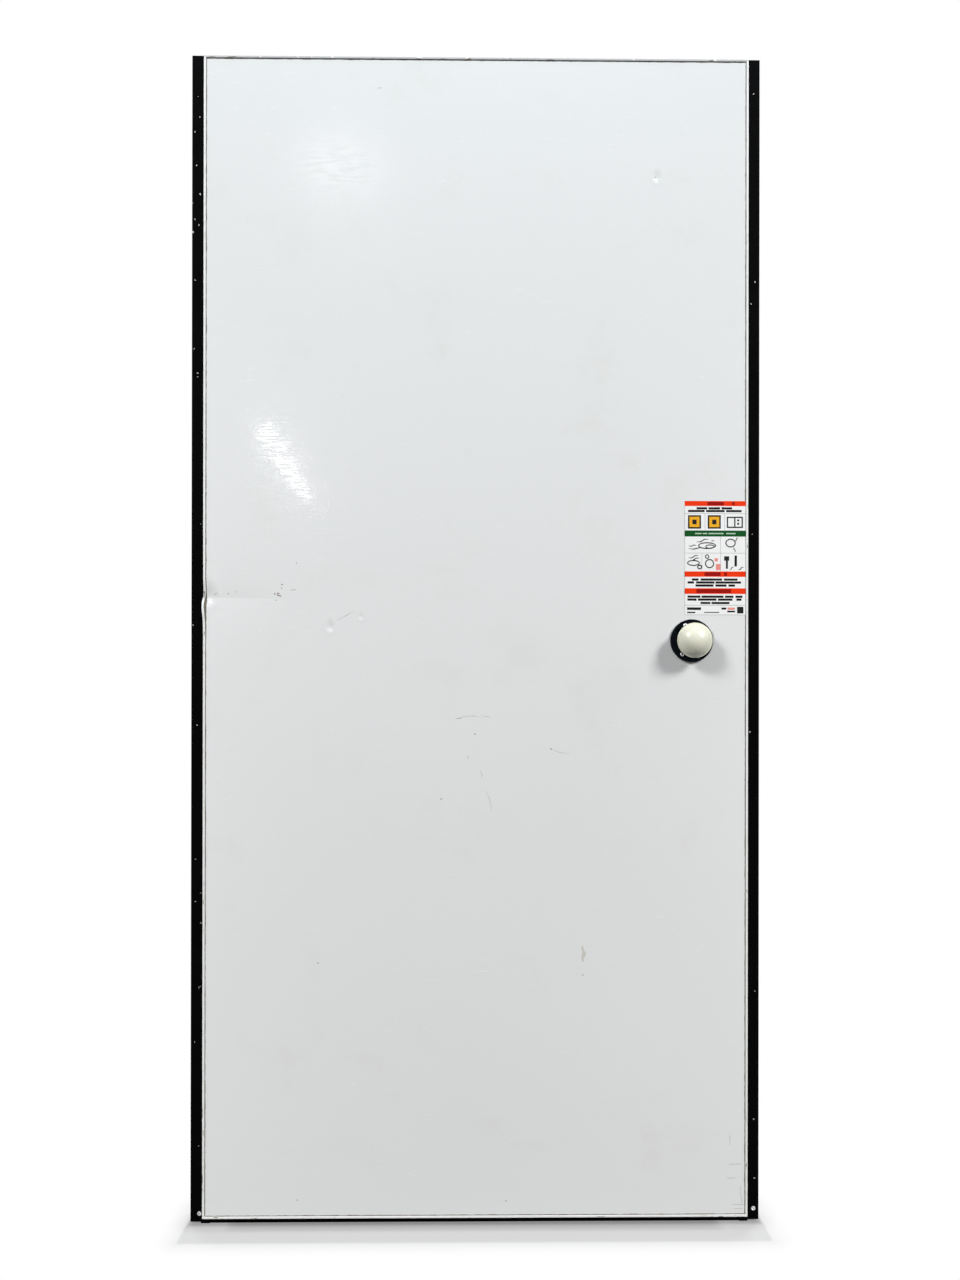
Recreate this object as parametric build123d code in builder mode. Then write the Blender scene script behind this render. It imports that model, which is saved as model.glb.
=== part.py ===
"""Walk-in cooler door: one hung leaf of the overlapping plug kind.

A foamed plug with a white steel face fills the doorway. Behind it a wider
flange overlaps the frame and carries a black magnetic gasket on three sides
and a wiper along the bottom. A push knob on the cold side works a rod that
runs through the leaf to the latch on the warm side. Two strap hinges carry
the leaf on pins that belong to the frame.

Frame: millimetres, +Z up. The origin is on the hinge pin axis, at the foot
of the bottom hinge. +X runs from the hinges to the latch, and -Y faces into
the cold room.
"""

import os
from math import acos, asin, atan2, cos, hypot, sin

from build123d import *

# Plug: the part of the leaf that stands inside the doorway
plug_width = 902.0
plug_height = 1920.0
leaf_thickness = 100.0

# Flange: the wider back part that overlaps the frame on all four sides
overlap = 36.0
flange_thickness = 30.0
breaker_thickness = 6.0
breaker_under_plug = 14.0

# Steel skins
inner_skin_thickness = 0.6
outer_skin_thickness = 0.8
pan_lip = 20.0
pan_bend_radius = 2.0
pan_corner_radius = 3.0

# Plastic rails round the edge of the plug
rail_wall = 2.5
rail_lip_width = 3.5
rail_lip_thickness = 1.5
rail_ledge_reach = 14.0
rail_ledge_thickness = 1.2
rail_nose_radius = 0.7
skin_edge_gap = 0.3

# Magnetic gasket
gasket_width = 32.0
gasket_height = 13.0
gasket_inset = 1.0
gasket_foot_gap = 1.0
gasket_base_width = 27.0
gasket_web = 1.6
gasket_wall = 2.2
gasket_fold = 4.0
gasket_pocket_height = 4.2
gasket_pocket_radius = 1.1
dart_depth = 4.5
dart_stem = 2.6
dart_neck = 1.5
dart_barb = 4.8
dart_tip = 1.6
groove_clearance = 0.2

# Bottom wiper and the bar that clamps it
sweep_base_height = 28.0
sweep_base_thickness = 3.0
sweep_lift = 2.0
sweep_fin_thickness = 1.5
sweep_fin_drop = 2.0
sweep_front_fin_reach = 8.0
sweep_back_fin_reach = 4.0
sweep_end_gap = 0.5
retainer_height = 18.0
retainer_thickness = 2.0

# Inside release
knob_from_plug_edge = 94.0
knob_height = 955.0
rose_radius = 35.5
rose_rim_height = 4.0
rose_centre_height = 9.0
rose_hub_radius = 13.0
rose_edge_radius = 1.5
rose_screw_circle = 27.6
rose_screw_start = 114.0
rose_screws = 3
rose_seat_radius = 4.4
rose_seat_height = 4.3
release_travel = 8.0
pressed_gap = 5.0
head_radius = 28.7
head_rim_thickness = 3.5
head_dome_radius = 27.2
head_dome_height = 17.0
head_hub_radius = 10.0
head_hub_length = 2.0
head_cavity_radius = 22.0
head_cavity_depth = 4.0
head_socket_depth = 12.0
socket_clearance = 0.05
rod_radius = 5.0
rod_chamfer = 1.0
rod_clearance = 0.08
rod_tip_projection = 4.0
guide_wall = 2.5

# Hinges
hinge_axis_from_edge = 3.0
hinge_axis_from_face = 11.0
hinge_inset = 280.0
barrel_radius = 10.0
barrel_length = 60.0
pin_bore = 5.2
bush_length = 6.0
bush_collar = 1.4
cam_rise = 2.5
cam_land = 3.0
cap_dome_height = 3.0
cap_plug_length = 6.0
cap_plug_radius = 7.4
cap_clearance = 0.1
cap_edge_radius = 1.5
strap_length = 228.0
strap_root_height = 52.0
strap_tip_height = 30.0
strap_thickness = 5.0
strap_rib_height = 3.0
strap_rib_margin = 9.0
strap_rib_start = 24.0
knuckle_reach = 34.0
strap_edge_radius = 1.5

# Latch
housing_length = 168.0
housing_height = 62.0
housing_depth = 28.0
housing_edge_gap = 1.0
housing_corner_radius = 9.0
housing_draft = 5.0
housing_top_radius = 3.0
slot_start = 37.0
slot_length = 52.0
slot_width = 19.0
slot_floor = 4.0
pin_from_slot = 15.0
pin_depth = 15.0
pin_radius = 3.0
pin_clearance = 0.05
pin_end_gap = 3.0
lever_root_width = 18.0
lever_root_radius = 9.0
lever_width = 32.0
lever_reach = 228.0
lever_standoff = 30.0
lever_thickness = 12.0
lever_bow = 6.0
lever_edge_radius = 3.0
lever_corner_radius = 9.0
lever_root_overlap = 4.0
rod_pocket_clearance = 2.0
bolt_height = 22.0
bolt_depth = 14.0
bolt_floor = 4.0
bolt_inside = 13.0
bolt_projection = 9.0
bolt_bevel = 6.0
bolt_clearance = 0.3
cylinder_radius = 7.0
cylinder_from_end = 21.0
cylinder_sink = 8.0
cylinder_projection = 2.5
cylinder_lip_radius = 9.0
cylinder_lip_thickness = 1.2
cylinder_clearance = 0.1
keyway_width = 1.6
keyway_height = 7.0
keyway_depth = 2.0

# Places that follow from the sizes above
leaf_width = plug_width + 2 * overlap
leaf_height = plug_height + 2 * overlap
leaf_left = hinge_axis_from_edge
leaf_right = leaf_left + leaf_width
face_y = -hinge_axis_from_face
strap_centre = bush_length + barrel_length / 2
leaf_bottom = strap_centre - hinge_inset
leaf_top = leaf_bottom + leaf_height
hinge_spacing = leaf_height - 2 * hinge_inset
plug_left = leaf_left + overlap
plug_right = leaf_right - overlap
plug_bottom = leaf_bottom + overlap
plug_top = leaf_top - overlap
pan_depth = flange_thickness - breaker_thickness
knob_x = plug_right - knob_from_plug_edge
knob_z = plug_bottom + knob_height
skin_height = leaf_thickness - rail_lip_thickness - inner_skin_thickness
head_back = rose_centre_height + pressed_gap + release_travel + head_hub_length
guide_radius = rod_radius + rod_clearance + guide_wall
rod_pocket_depth = rod_tip_projection + release_travel + pressed_gap

# A rectangle round the leaf or the plug is walked anticlockwise, as seen from
# the cold room: bottom, latch side, top, hinge side. A section is drawn with
# x inward from the rectangle and y as the height above the warm face.
along = {
    "bottom": Vector(1, 0, 0),
    "latch_side": Vector(0, 0, 1),
    "top": Vector(-1, 0, 0),
    "hinge_side": Vector(0, 0, -1),
}
inward = {
    "bottom": Vector(0, 0, 1),
    "latch_side": Vector(-1, 0, 0),
    "top": Vector(0, 0, -1),
    "hinge_side": Vector(1, 0, 0),
}
leaf_corner = {
    "bottom": Vector(leaf_left, face_y, leaf_bottom),
    "latch_side": Vector(leaf_right, face_y, leaf_bottom),
    "top": Vector(leaf_right, face_y, leaf_top),
    "hinge_side": Vector(leaf_left, face_y, leaf_top),
}
plug_corner = {
    "bottom": Vector(plug_left, face_y, plug_bottom),
    "latch_side": Vector(plug_right, face_y, plug_bottom),
    "top": Vector(plug_right, face_y, plug_top),
    "hinge_side": Vector(plug_left, face_y, plug_top),
}
leaf_side = {
    "bottom": leaf_width,
    "latch_side": leaf_height,
    "top": leaf_width,
    "hinge_side": leaf_height,
}
plug_side = {
    "bottom": plug_width,
    "latch_side": plug_height,
    "top": plug_width,
    "hinge_side": plug_height,
}


def height_plane(height):
    """Plane that far in from the warm face, with its normal towards the cold room."""
    return Plane(origin=(0, face_y - height, 0), x_dir=(1, 0, 0), z_dir=(0, -1, 0))


def outside_plane(distance):
    """Plane that far out from the warm face, with its normal away from the leaf."""
    return Plane(origin=(0, face_y + distance, 0), x_dir=(-1, 0, 0), z_dir=(0, 1, 0))


def block(x_low, x_high, y_low, y_high, mode=Mode.ADD):
    """A rectangle by its corners."""
    with Locations(((x_low + x_high) / 2, (y_low + y_high) / 2)):
        Rectangle(x_high - x_low, y_high - y_low, mode=mode)


def side_rail(side, corner, length, section, mitres=("start", "end"), set_in=(0.0, 0.0)):
    """A section carried along a side, its ends mitred or else square and set in from the corners."""
    start = corner[side]
    end = start + along[side] * length[side]
    foot = start + along[side] * set_in[0]
    with BuildPart() as rail:
        with BuildSketch(Plane(origin=foot, x_dir=inward[side], z_dir=along[side])):
            add(section.sketch)
        extrude(amount=length[side] - set_in[0] - set_in[1])
        if "start" in mitres:
            split(bisect_by=Plane(origin=start, z_dir=along[side] - inward[side]), keep=Keep.TOP)
        if "end" in mitres:
            split(bisect_by=Plane(origin=end, z_dir=-along[side] - inward[side]), keep=Keep.TOP)
    return rail.part


parts = []


def keep(part, label):
    """Names a finished piece and lists it for export."""
    part.label = label
    parts.append(part)


# Black breaker strips: they close the warm pan and hold the gasket's dart
breaker_width = overlap + breaker_under_plug
dart_centre = gasket_inset + gasket_width / 2


def dart_points(clearance):
    """Outline of the dart, a stem with a barbed tip, grown by a clearance for its groove."""
    stem = dart_stem / 2 + clearance
    barb = dart_barb / 2 + clearance
    neck = flange_thickness - dart_neck + clearance
    widest = flange_thickness - dart_depth / 2
    tip = flange_thickness - dart_depth - clearance
    half = [(stem, flange_thickness), (stem, neck), (barb, widest), (dart_tip / 2, tip)]
    right = [(dart_centre + x, y) for x, y in half]
    left = [(dart_centre - x, y) for x, y in reversed(half)]
    return right + left


with BuildSketch() as plain_breaker_section:
    block(0, breaker_width, pan_depth, flange_thickness)

with BuildSketch() as breaker_section:
    block(0, breaker_width, pan_depth, flange_thickness)
    with BuildLine():
        Polyline(*dart_points(groove_clearance), close=True)
    make_face(mode=Mode.SUBTRACT)

breaker_set_in = (breaker_width, breaker_width)
keep(
    side_rail("bottom", leaf_corner, leaf_side, plain_breaker_section, (), breaker_set_in),
    "breaker_bottom",
)
keep(side_rail("latch_side", leaf_corner, leaf_side, breaker_section, ("end",)), "breaker_latch_side")
keep(side_rail("top", leaf_corner, leaf_side, breaker_section), "breaker_top")
keep(side_rail("hinge_side", leaf_corner, leaf_side, breaker_section, ("start",)), "breaker_hinge_side")

# Warm-side pan: one sheet with its edges folded round and in under the breaker
with BuildPart() as outer_pan:
    with BuildSketch(height_plane(0)):
        block(leaf_left, leaf_right, leaf_bottom, leaf_top)
    extrude(amount=pan_depth)
    fillet(outer_pan.edges().filter_by(Axis.Y), pan_corner_radius)
    fillet(outer_pan.faces().sort_by(Axis.Y)[-1].edges(), pan_bend_radius)
    offset(amount=-outer_skin_thickness, openings=outer_pan.faces().sort_by(Axis.Y)[0])
    with BuildSketch(height_plane(pan_depth - outer_skin_thickness)) as pan_lip_ring:
        block(
            leaf_left + outer_skin_thickness / 2,
            leaf_right - outer_skin_thickness / 2,
            leaf_bottom + outer_skin_thickness / 2,
            leaf_top - outer_skin_thickness / 2,
        )
        fillet(pan_lip_ring.vertices(), pan_corner_radius - outer_skin_thickness / 2)
        block(
            leaf_left + pan_lip,
            leaf_right - pan_lip,
            leaf_bottom + pan_lip,
            leaf_top - pan_lip,
            Mode.SUBTRACT,
        )
    extrude(amount=outer_skin_thickness)
    with Locations(Plane(origin=(knob_x, face_y, knob_z), z_dir=(0, 1, 0))):
        Cylinder(guide_radius, 2 * pan_depth, mode=Mode.SUBTRACT)
keep(outer_pan.part, "outer_pan")


# White plastic rails: the wall of the plug, with a lip over the edge of the cold skin
with BuildSketch() as rail_section:
    block(0, rail_wall, flange_thickness, leaf_thickness)
    block(0, rail_lip_width, leaf_thickness - rail_lip_thickness, leaf_thickness)
    block(0, rail_ledge_reach, skin_height - rail_ledge_thickness, skin_height)
    block(0, rail_ledge_reach, flange_thickness, flange_thickness + rail_ledge_thickness)
    fillet(rail_section.vertices().group_by(Axis.Y)[-1], rail_nose_radius)

for side in along:
    keep(side_rail(side, plug_corner, plug_side, rail_section), f"edge_rail_{side}")

# Cold-side skin: a flat sheet held in the groove of the rails
skin_margin = rail_wall + skin_edge_gap
with BuildPart() as inner_skin:
    with BuildSketch(height_plane(skin_height)):
        block(
            plug_left + skin_margin,
            plug_right - skin_margin,
            plug_bottom + skin_margin,
            plug_top - skin_margin,
        )
        with Locations((knob_x, knob_z)):
            Circle(guide_radius, mode=Mode.SUBTRACT)
    extrude(amount=inner_skin_thickness)
keep(inner_skin.part, "inner_skin")


# Magnetic gasket: a dart, a base web, two folded walls and the magnet pocket
gasket_base_top = flange_thickness + gasket_web
gasket_pocket_bottom = flange_thickness + gasket_height - gasket_pocket_height
gasket_fold_height = (gasket_base_top + gasket_pocket_bottom) / 2
with BuildSketch() as gasket_section:
    with BuildLine():
        Polyline(*dart_points(0), close=True)
    make_face()
    block(
        dart_centre - gasket_base_width / 2,
        dart_centre + gasket_base_width / 2,
        flange_thickness,
        gasket_base_top,
    )
    with Locations((dart_centre, gasket_pocket_bottom + gasket_pocket_height / 2)):
        RectangleRounded(gasket_width, gasket_pocket_height, gasket_pocket_radius)
    for hand in (-1, 1):
        outer = dart_centre + hand * gasket_base_width / 2
        inner = outer - hand * gasket_fold
        with BuildLine():
            Polyline(
                (outer, gasket_base_top - gasket_web / 2),
                (inner, gasket_fold_height),
                (outer, gasket_pocket_bottom + gasket_web / 2),
                (outer - hand * gasket_wall, gasket_pocket_bottom + gasket_web / 2),
                (inner - hand * gasket_wall, gasket_fold_height),
                (outer - hand * gasket_wall, gasket_base_top - gasket_web / 2),
                close=True,
            )
        make_face()

keep(
    side_rail("latch_side", leaf_corner, leaf_side, gasket_section, ("end",), (gasket_foot_gap, 0)),
    "gasket_latch_side",
)
keep(side_rail("top", leaf_corner, leaf_side, gasket_section), "gasket_top")
keep(
    side_rail("hinge_side", leaf_corner, leaf_side, gasket_section, ("start",), (0, gasket_foot_gap)),
    "gasket_hinge_side",
)


# Bottom wiper between the two side gaskets, clamped by a bar
sweep_end = gasket_inset + gasket_width + sweep_end_gap
sweep_set_in = (sweep_end, sweep_end)
sweep_face = flange_thickness + sweep_base_thickness
with BuildSketch() as sweep_section:
    block(sweep_lift, sweep_lift + sweep_base_height, flange_thickness, sweep_face)
    fins = [
        (flange_thickness, sweep_back_fin_reach),
        (sweep_face - sweep_fin_thickness, sweep_front_fin_reach),
    ]
    for root, reach in fins:
        with BuildLine():
            Polyline(
                (sweep_lift + sweep_fin_thickness, root),
                (-sweep_fin_drop, root + reach),
                (-sweep_fin_drop, root + reach + sweep_fin_thickness),
                (sweep_lift + sweep_fin_thickness, root + sweep_fin_thickness),
                close=True,
            )
        make_face()
keep(side_rail("bottom", leaf_corner, leaf_side, sweep_section, (), sweep_set_in), "bottom_sweep")

retainer_foot = sweep_lift + (sweep_base_height - retainer_height) / 2
with BuildSketch() as retainer_section:
    block(retainer_foot, retainer_foot + retainer_height, sweep_face, sweep_face + retainer_thickness)
    fillet(retainer_section.vertices().group_by(Axis.Y)[-1], retainer_thickness / 2)
keep(side_rail("bottom", leaf_corner, leaf_side, retainer_section, (), sweep_set_in), "sweep_retainer")

# Guide tube: it carries the release rod through the foam, skin to skin
with BuildPart() as release_guide:
    with BuildSketch(Plane(origin=(knob_x, face_y, knob_z), z_dir=(0, -1, 0))):
        Circle(guide_radius)
        Circle(rod_radius + rod_clearance, mode=Mode.SUBTRACT)
    extrude(amount=skin_height + inner_skin_thickness)
keep(release_guide.part, "release_guide")

# Foam core: it fills what the skins, rails, breakers and guide leave
with BuildPart() as foam_core:
    with BuildSketch(height_plane(0)):
        block(leaf_left, leaf_right, leaf_bottom, leaf_top)
    extrude(amount=pan_depth)
    fillet(foam_core.edges().filter_by(Axis.Y), pan_corner_radius)
    fillet(foam_core.faces().sort_by(Axis.Y)[-1].edges(), pan_bend_radius)
    offset(amount=-outer_skin_thickness)
    with BuildSketch(height_plane(pan_depth - outer_skin_thickness)):
        block(leaf_left + pan_lip, leaf_right - pan_lip, leaf_bottom + pan_lip, leaf_top - pan_lip)
    extrude(amount=outer_skin_thickness)
    with BuildSketch(height_plane(pan_depth)):
        block(
            plug_left + breaker_under_plug,
            plug_right - breaker_under_plug,
            plug_bottom + breaker_under_plug,
            plug_top - breaker_under_plug,
        )
    extrude(amount=breaker_thickness)
    with BuildSketch(height_plane(flange_thickness)):
        block(
            plug_left + rail_wall,
            plug_right - rail_wall,
            plug_bottom + rail_wall,
            plug_top - rail_wall,
        )
    extrude(amount=skin_height - flange_thickness)
    for height in (flange_thickness, skin_height - rail_ledge_thickness):
        with BuildSketch(height_plane(height)):
            block(plug_left, plug_right, plug_bottom, plug_top)
            block(
                plug_left + rail_ledge_reach,
                plug_right - rail_ledge_reach,
                plug_bottom + rail_ledge_reach,
                plug_top - rail_ledge_reach,
                Mode.SUBTRACT,
            )
        extrude(amount=rail_ledge_thickness, mode=Mode.SUBTRACT)
    with BuildSketch(Plane(origin=(knob_x, face_y, knob_z), z_dir=(0, -1, 0))):
        Circle(guide_radius)
    extrude(amount=leaf_thickness, mode=Mode.SUBTRACT)
keep(foam_core.part, "foam_core")

# Inside release: a black rose on the skin, and a push knob on a steel rod
release_axis = Axis((knob_x, 0, knob_z), (0, -1, 0))
skin_front = face_y - skin_height - inner_skin_thickness
release_plane = Plane(origin=(knob_x, skin_front, knob_z), x_dir=(1, 0, 0), z_dir=(0, 0, -1))
with BuildPart() as release_rose:
    with BuildSketch(release_plane):
        with BuildLine():
            Polyline(
                (rod_radius + rod_clearance, 0),
                (rose_radius, 0),
                (rose_radius, rose_rim_height),
                (rose_hub_radius, rose_centre_height),
                (rod_radius + rod_clearance, rose_centre_height),
                close=True,
            )
        make_face()
    revolve(axis=release_axis)
    fillet(release_rose.edges().filter_by(GeomType.CIRCLE).group_by(Axis.Y)[1], rose_edge_radius)
    with BuildSketch(Plane(origin=(knob_x, skin_front - rose_seat_height, knob_z), z_dir=(0, -1, 0))):
        with PolarLocations(rose_screw_circle, rose_screws, rose_screw_start):
            Circle(rose_seat_radius)
    extrude(amount=rose_centre_height, mode=Mode.SUBTRACT)
keep(release_rose.part, "release_rose")

head_rim_front = head_back + head_rim_thickness
dome_sphere_radius = (head_dome_radius**2 + head_dome_height**2) / (2 * head_dome_height)
dome_centre = head_rim_front + head_dome_height - dome_sphere_radius
dome_half_angle = asin(head_dome_radius / dome_sphere_radius) / 2
dome_middle = (
    dome_sphere_radius * sin(dome_half_angle),
    dome_centre + dome_sphere_radius * cos(dome_half_angle),
)
socket_start = skin_front - head_back + head_hub_length
with BuildPart() as release_knob:
    with BuildSketch(release_plane):
        with BuildLine():
            Polyline(
                (0, head_rim_front + head_dome_height),
                (0, head_rim_front),
                (0, head_back - head_hub_length),
                (head_hub_radius, head_back - head_hub_length),
                (head_hub_radius, head_back + head_cavity_depth),
                (head_cavity_radius, head_back + head_cavity_depth),
                (head_cavity_radius, head_back),
                (head_radius, head_back),
                (head_radius, head_rim_front),
                (head_dome_radius, head_rim_front),
            )
            ThreePointArc(
                (head_dome_radius, head_rim_front),
                dome_middle,
                (0, head_rim_front + head_dome_height),
            )
        make_face()
    revolve(axis=release_axis)
    with BuildSketch(Plane(origin=(knob_x, socket_start, knob_z), z_dir=(0, -1, 0))):
        Circle(rod_radius + socket_clearance)
    extrude(amount=head_socket_depth, mode=Mode.SUBTRACT)
keep(release_knob.part, "release_knob")

rod_front = leaf_thickness - rail_lip_thickness + head_back - head_hub_length + head_socket_depth
with BuildPart() as release_rod:
    with BuildSketch(Plane(origin=(knob_x, face_y + rod_tip_projection, knob_z), z_dir=(0, -1, 0))):
        Circle(rod_radius)
    extrude(amount=rod_tip_projection + rod_front)
    chamfer(release_rod.edges().group_by(Axis.Y)[-1], rod_chamfer)
keep(release_rod.part, "release_rod")


# Strap hinges: a tapered strap whose knuckle slopes up to its barrel, a nylon bush and a cap
strap_top = face_y + strap_thickness
knuckle_angle = atan2(strap_top, knuckle_reach) + acos(barrel_radius / hypot(knuckle_reach, strap_top))


def tapered_outline(start, centre, margin):
    """Outline of the strap: straight sides that narrow to a round tip, less a margin all round."""
    root = strap_root_height / 2 - margin
    tip = strap_tip_height / 2 - margin
    far = strap_length - strap_tip_height / 2
    with BuildLine() as outline:
        Line((-start, centre - root), (-far, centre - tip))
        ThreePointArc((-far, centre - tip), (-far - tip, centre), (-far, centre + tip))
        Line((-far, centre + tip), (-start, centre + root))
        Line((-start, centre + root), (-start, centre - root))
    return outline.line


def hinge_strap(foot):
    """The strap lies on the warm face, and its barrel stands on the pin axis."""
    centre = foot + strap_centre
    with BuildPart() as strap:
        with BuildSketch(outside_plane(0)):
            add(tapered_outline(0, centre, 0))
            make_face()
        extrude(amount=strap_thickness)
        with BuildSketch(outside_plane(strap_thickness)):
            add(tapered_outline(strap_rib_start, centre, strap_rib_margin))
            make_face()
        extrude(amount=strap_rib_height)
        rib_top = strap.faces().filter_by(Axis.Y).sort_by(Axis.Y)[-1]
        fillet(rib_top.edges(), strap_edge_radius)
        with BuildSketch(Plane.XY.offset(centre - strap_root_height / 2)):
            with BuildLine():
                Polyline(
                    (0, 0),
                    (0, face_y),
                    (knuckle_reach, face_y),
                    (knuckle_reach, strap_top),
                    (barrel_radius * cos(knuckle_angle), barrel_radius * sin(knuckle_angle)),
                    close=True,
                )
            make_face()
        extrude(amount=strap_root_height)
        with BuildSketch(Plane.XY.offset(foot + bush_length)):
            Circle(barrel_radius)
        extrude(amount=barrel_length)
        with BuildSketch(Plane.XY.offset(foot + bush_length)):
            Circle(pin_bore)
        extrude(amount=barrel_length, mode=Mode.SUBTRACT)
        with BuildSketch(Plane.XY.offset(foot + bush_length + barrel_length - cap_plug_length)):
            Circle(cap_plug_radius + cap_clearance)
        extrude(amount=cap_plug_length, mode=Mode.SUBTRACT)
    return strap.part


def hinge_bush(foot):
    """Nylon bush under the barrel: V ramps that lift the leaf as it opens, round a flat collar."""
    with BuildPart() as bush:
        with BuildSketch(Plane.XY.offset(foot)):
            Circle(barrel_radius)
        extrude(amount=bush_length)
        for hand in (-1, 1):
            with BuildSketch(Plane.YZ.offset(-barrel_radius)):
                with BuildLine():
                    Polyline(
                        (hand * cam_land / 2, foot),
                        (hand * barrel_radius, foot + cam_rise),
                        (hand * barrel_radius, foot),
                        close=True,
                    )
                make_face()
            extrude(amount=2 * barrel_radius, mode=Mode.SUBTRACT)
        with BuildSketch(Plane.XY.offset(foot)):
            Circle(pin_bore + bush_collar)
        extrude(amount=bush_length)
        with BuildSketch(Plane.XY.offset(foot)):
            Circle(pin_bore)
        extrude(amount=bush_length, mode=Mode.SUBTRACT)
    return bush.part


def hinge_cap(foot):
    """Domed cap whose plug closes the top of the barrel."""
    barrel_top = foot + bush_length + barrel_length
    with BuildPart() as cap:
        with BuildSketch(Plane.XY.offset(barrel_top)):
            Circle(barrel_radius)
        extrude(amount=cap_dome_height)
        fillet(cap.edges().group_by(Axis.Z)[-1], cap_edge_radius)
        with BuildSketch(Plane.XY.offset(barrel_top - cap_plug_length)):
            Circle(cap_plug_radius)
        extrude(amount=cap_plug_length)
    return cap.part


for place, foot in (("bottom", 0.0), ("top", hinge_spacing)):
    keep(hinge_strap(foot), f"hinge_strap_{place}")
    keep(hinge_bush(foot), f"hinge_bush_{place}")
    keep(hinge_cap(foot), f"hinge_cap_{place}")

# Latch housing: a drafted casting by the edge, open for the lever, bolt, rod and lock
housing_right = leaf_right - housing_edge_gap
housing_left = housing_right - housing_length
slot_right = housing_right - slot_start
slot_left = slot_right - slot_length
pin_x = slot_right - pin_from_slot
pin_y = face_y + pin_depth
cylinder_x = housing_right - cylinder_from_end
with BuildPart() as latch_housing:
    with BuildSketch(outside_plane(0)) as housing_foot:
        block(-housing_right, -housing_left, knob_z - housing_height / 2, knob_z + housing_height / 2)
        fillet(housing_foot.vertices(), housing_corner_radius)
    extrude(amount=housing_depth, taper=housing_draft)
    fillet(latch_housing.faces().sort_by(Axis.Y)[-1].edges(), housing_top_radius)
    with BuildSketch(outside_plane(slot_floor)):
        block(-slot_right, -slot_left, knob_z - slot_width / 2, knob_z + slot_width / 2)
    extrude(amount=housing_depth, mode=Mode.SUBTRACT)
    with BuildSketch(outside_plane(0)):
        with Locations((-knob_x, knob_z)):
            Circle(rod_radius + rod_pocket_clearance)
    extrude(amount=rod_pocket_depth, mode=Mode.SUBTRACT)
    with BuildSketch(outside_plane(bolt_floor - bolt_clearance)):
        block(
            -housing_right - bolt_projection,
            -housing_right + bolt_inside,
            knob_z - bolt_height / 2 - bolt_clearance,
            knob_z + bolt_height / 2 + bolt_clearance,
        )
    extrude(amount=bolt_depth + 2 * bolt_clearance, mode=Mode.SUBTRACT)
    with BuildSketch(outside_plane(housing_depth - cylinder_sink)):
        with Locations((-cylinder_x, knob_z)):
            Circle(cylinder_radius + cylinder_clearance)
    extrude(amount=cylinder_sink, mode=Mode.SUBTRACT)
    with BuildSketch(Plane.XY.offset(knob_z - housing_height / 2 + pin_end_gap)):
        with Locations((pin_x, pin_y)):
            Circle(pin_radius + pin_clearance)
    extrude(amount=housing_height - 2 * pin_end_gap, mode=Mode.SUBTRACT)
keep(latch_housing.part, "latch_housing")

# Lever: a bowed grip that stands off the door, with a root that turns on a pin in the slot
lever_right = pin_x + lever_root_radius
lever_left = lever_right - lever_reach
lever_under = face_y + lever_standoff
lever_out = lever_under + lever_thickness
with BuildPart() as latch_lever:
    with BuildSketch(Plane.XY.offset(knob_z - lever_width / 2)):
        with BuildLine():
            ThreePointArc(
                (lever_right, lever_out - lever_bow),
                ((lever_left + lever_right) / 2, lever_out),
                (lever_left, lever_out - lever_bow),
            )
            Line((lever_left, lever_out - lever_bow), (lever_left, lever_under))
            Line((lever_left, lever_under), (lever_right, lever_under))
            Line((lever_right, lever_under), (lever_right, lever_out - lever_bow))
        make_face()
    extrude(amount=lever_width)
    fillet(latch_lever.edges().filter_by(Axis.Y), lever_corner_radius)
    fillet(latch_lever.faces().sort_by(Axis.Y)[-1].edges(), lever_edge_radius)
    with BuildSketch(Plane.XY.offset(knob_z - lever_root_width / 2)):
        with Locations((pin_x, pin_y)):
            Circle(lever_root_radius)
        block(pin_x - lever_root_radius, pin_x + lever_root_radius, pin_y, lever_under + lever_root_overlap)
    extrude(amount=lever_root_width)
    with BuildSketch(Plane.XY.offset(knob_z - lever_root_width / 2)):
        with Locations((pin_x, pin_y)):
            Circle(pin_radius + pin_clearance)
    extrude(amount=lever_root_width, mode=Mode.SUBTRACT)
keep(latch_lever.part, "latch_lever")

with BuildPart() as latch_pin:
    with BuildSketch(Plane.XY.offset(knob_z - housing_height / 2 + pin_end_gap)):
        with Locations((pin_x, pin_y)):
            Circle(pin_radius)
    extrude(amount=housing_height - 2 * pin_end_gap)
keep(latch_pin.part, "latch_pin")

# Bolt: a bevelled nylon tongue that reaches past the edge to the strike
with BuildPart() as latch_bolt:
    with BuildSketch(Plane.XY.offset(knob_z - bolt_height / 2)):
        with BuildLine():
            Polyline(
                (housing_right - bolt_inside + bolt_clearance, face_y + bolt_floor),
                (housing_right + bolt_projection, face_y + bolt_floor),
                (housing_right + bolt_projection, face_y + bolt_floor + bolt_depth - bolt_bevel),
                (housing_right + bolt_projection - bolt_bevel, face_y + bolt_floor + bolt_depth),
                (housing_right - bolt_inside + bolt_clearance, face_y + bolt_floor + bolt_depth),
                close=True,
            )
        make_face()
    extrude(amount=bolt_height)
keep(latch_bolt.part, "latch_bolt")

# Lock: a key cylinder with a thin lip on the housing
with BuildPart() as lock_cylinder:
    with BuildSketch(outside_plane(housing_depth - cylinder_sink)):
        with Locations((-cylinder_x, knob_z)):
            Circle(cylinder_radius)
    extrude(amount=cylinder_sink + cylinder_projection)
    with BuildSketch(outside_plane(housing_depth)):
        with Locations((-cylinder_x, knob_z)):
            Circle(cylinder_lip_radius)
    extrude(amount=cylinder_lip_thickness)
    with BuildSketch(outside_plane(housing_depth + cylinder_projection - keyway_depth)):
        with Locations((-cylinder_x, knob_z)):
            Rectangle(keyway_width, keyway_height)
    extrude(amount=keyway_depth, mode=Mode.SUBTRACT)
keep(lock_cylinder.part, "lock_cylinder")

os.makedirs("parts", exist_ok=True)
for part in parts:
    export_step(part, f"parts/{part.label}.step")
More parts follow.
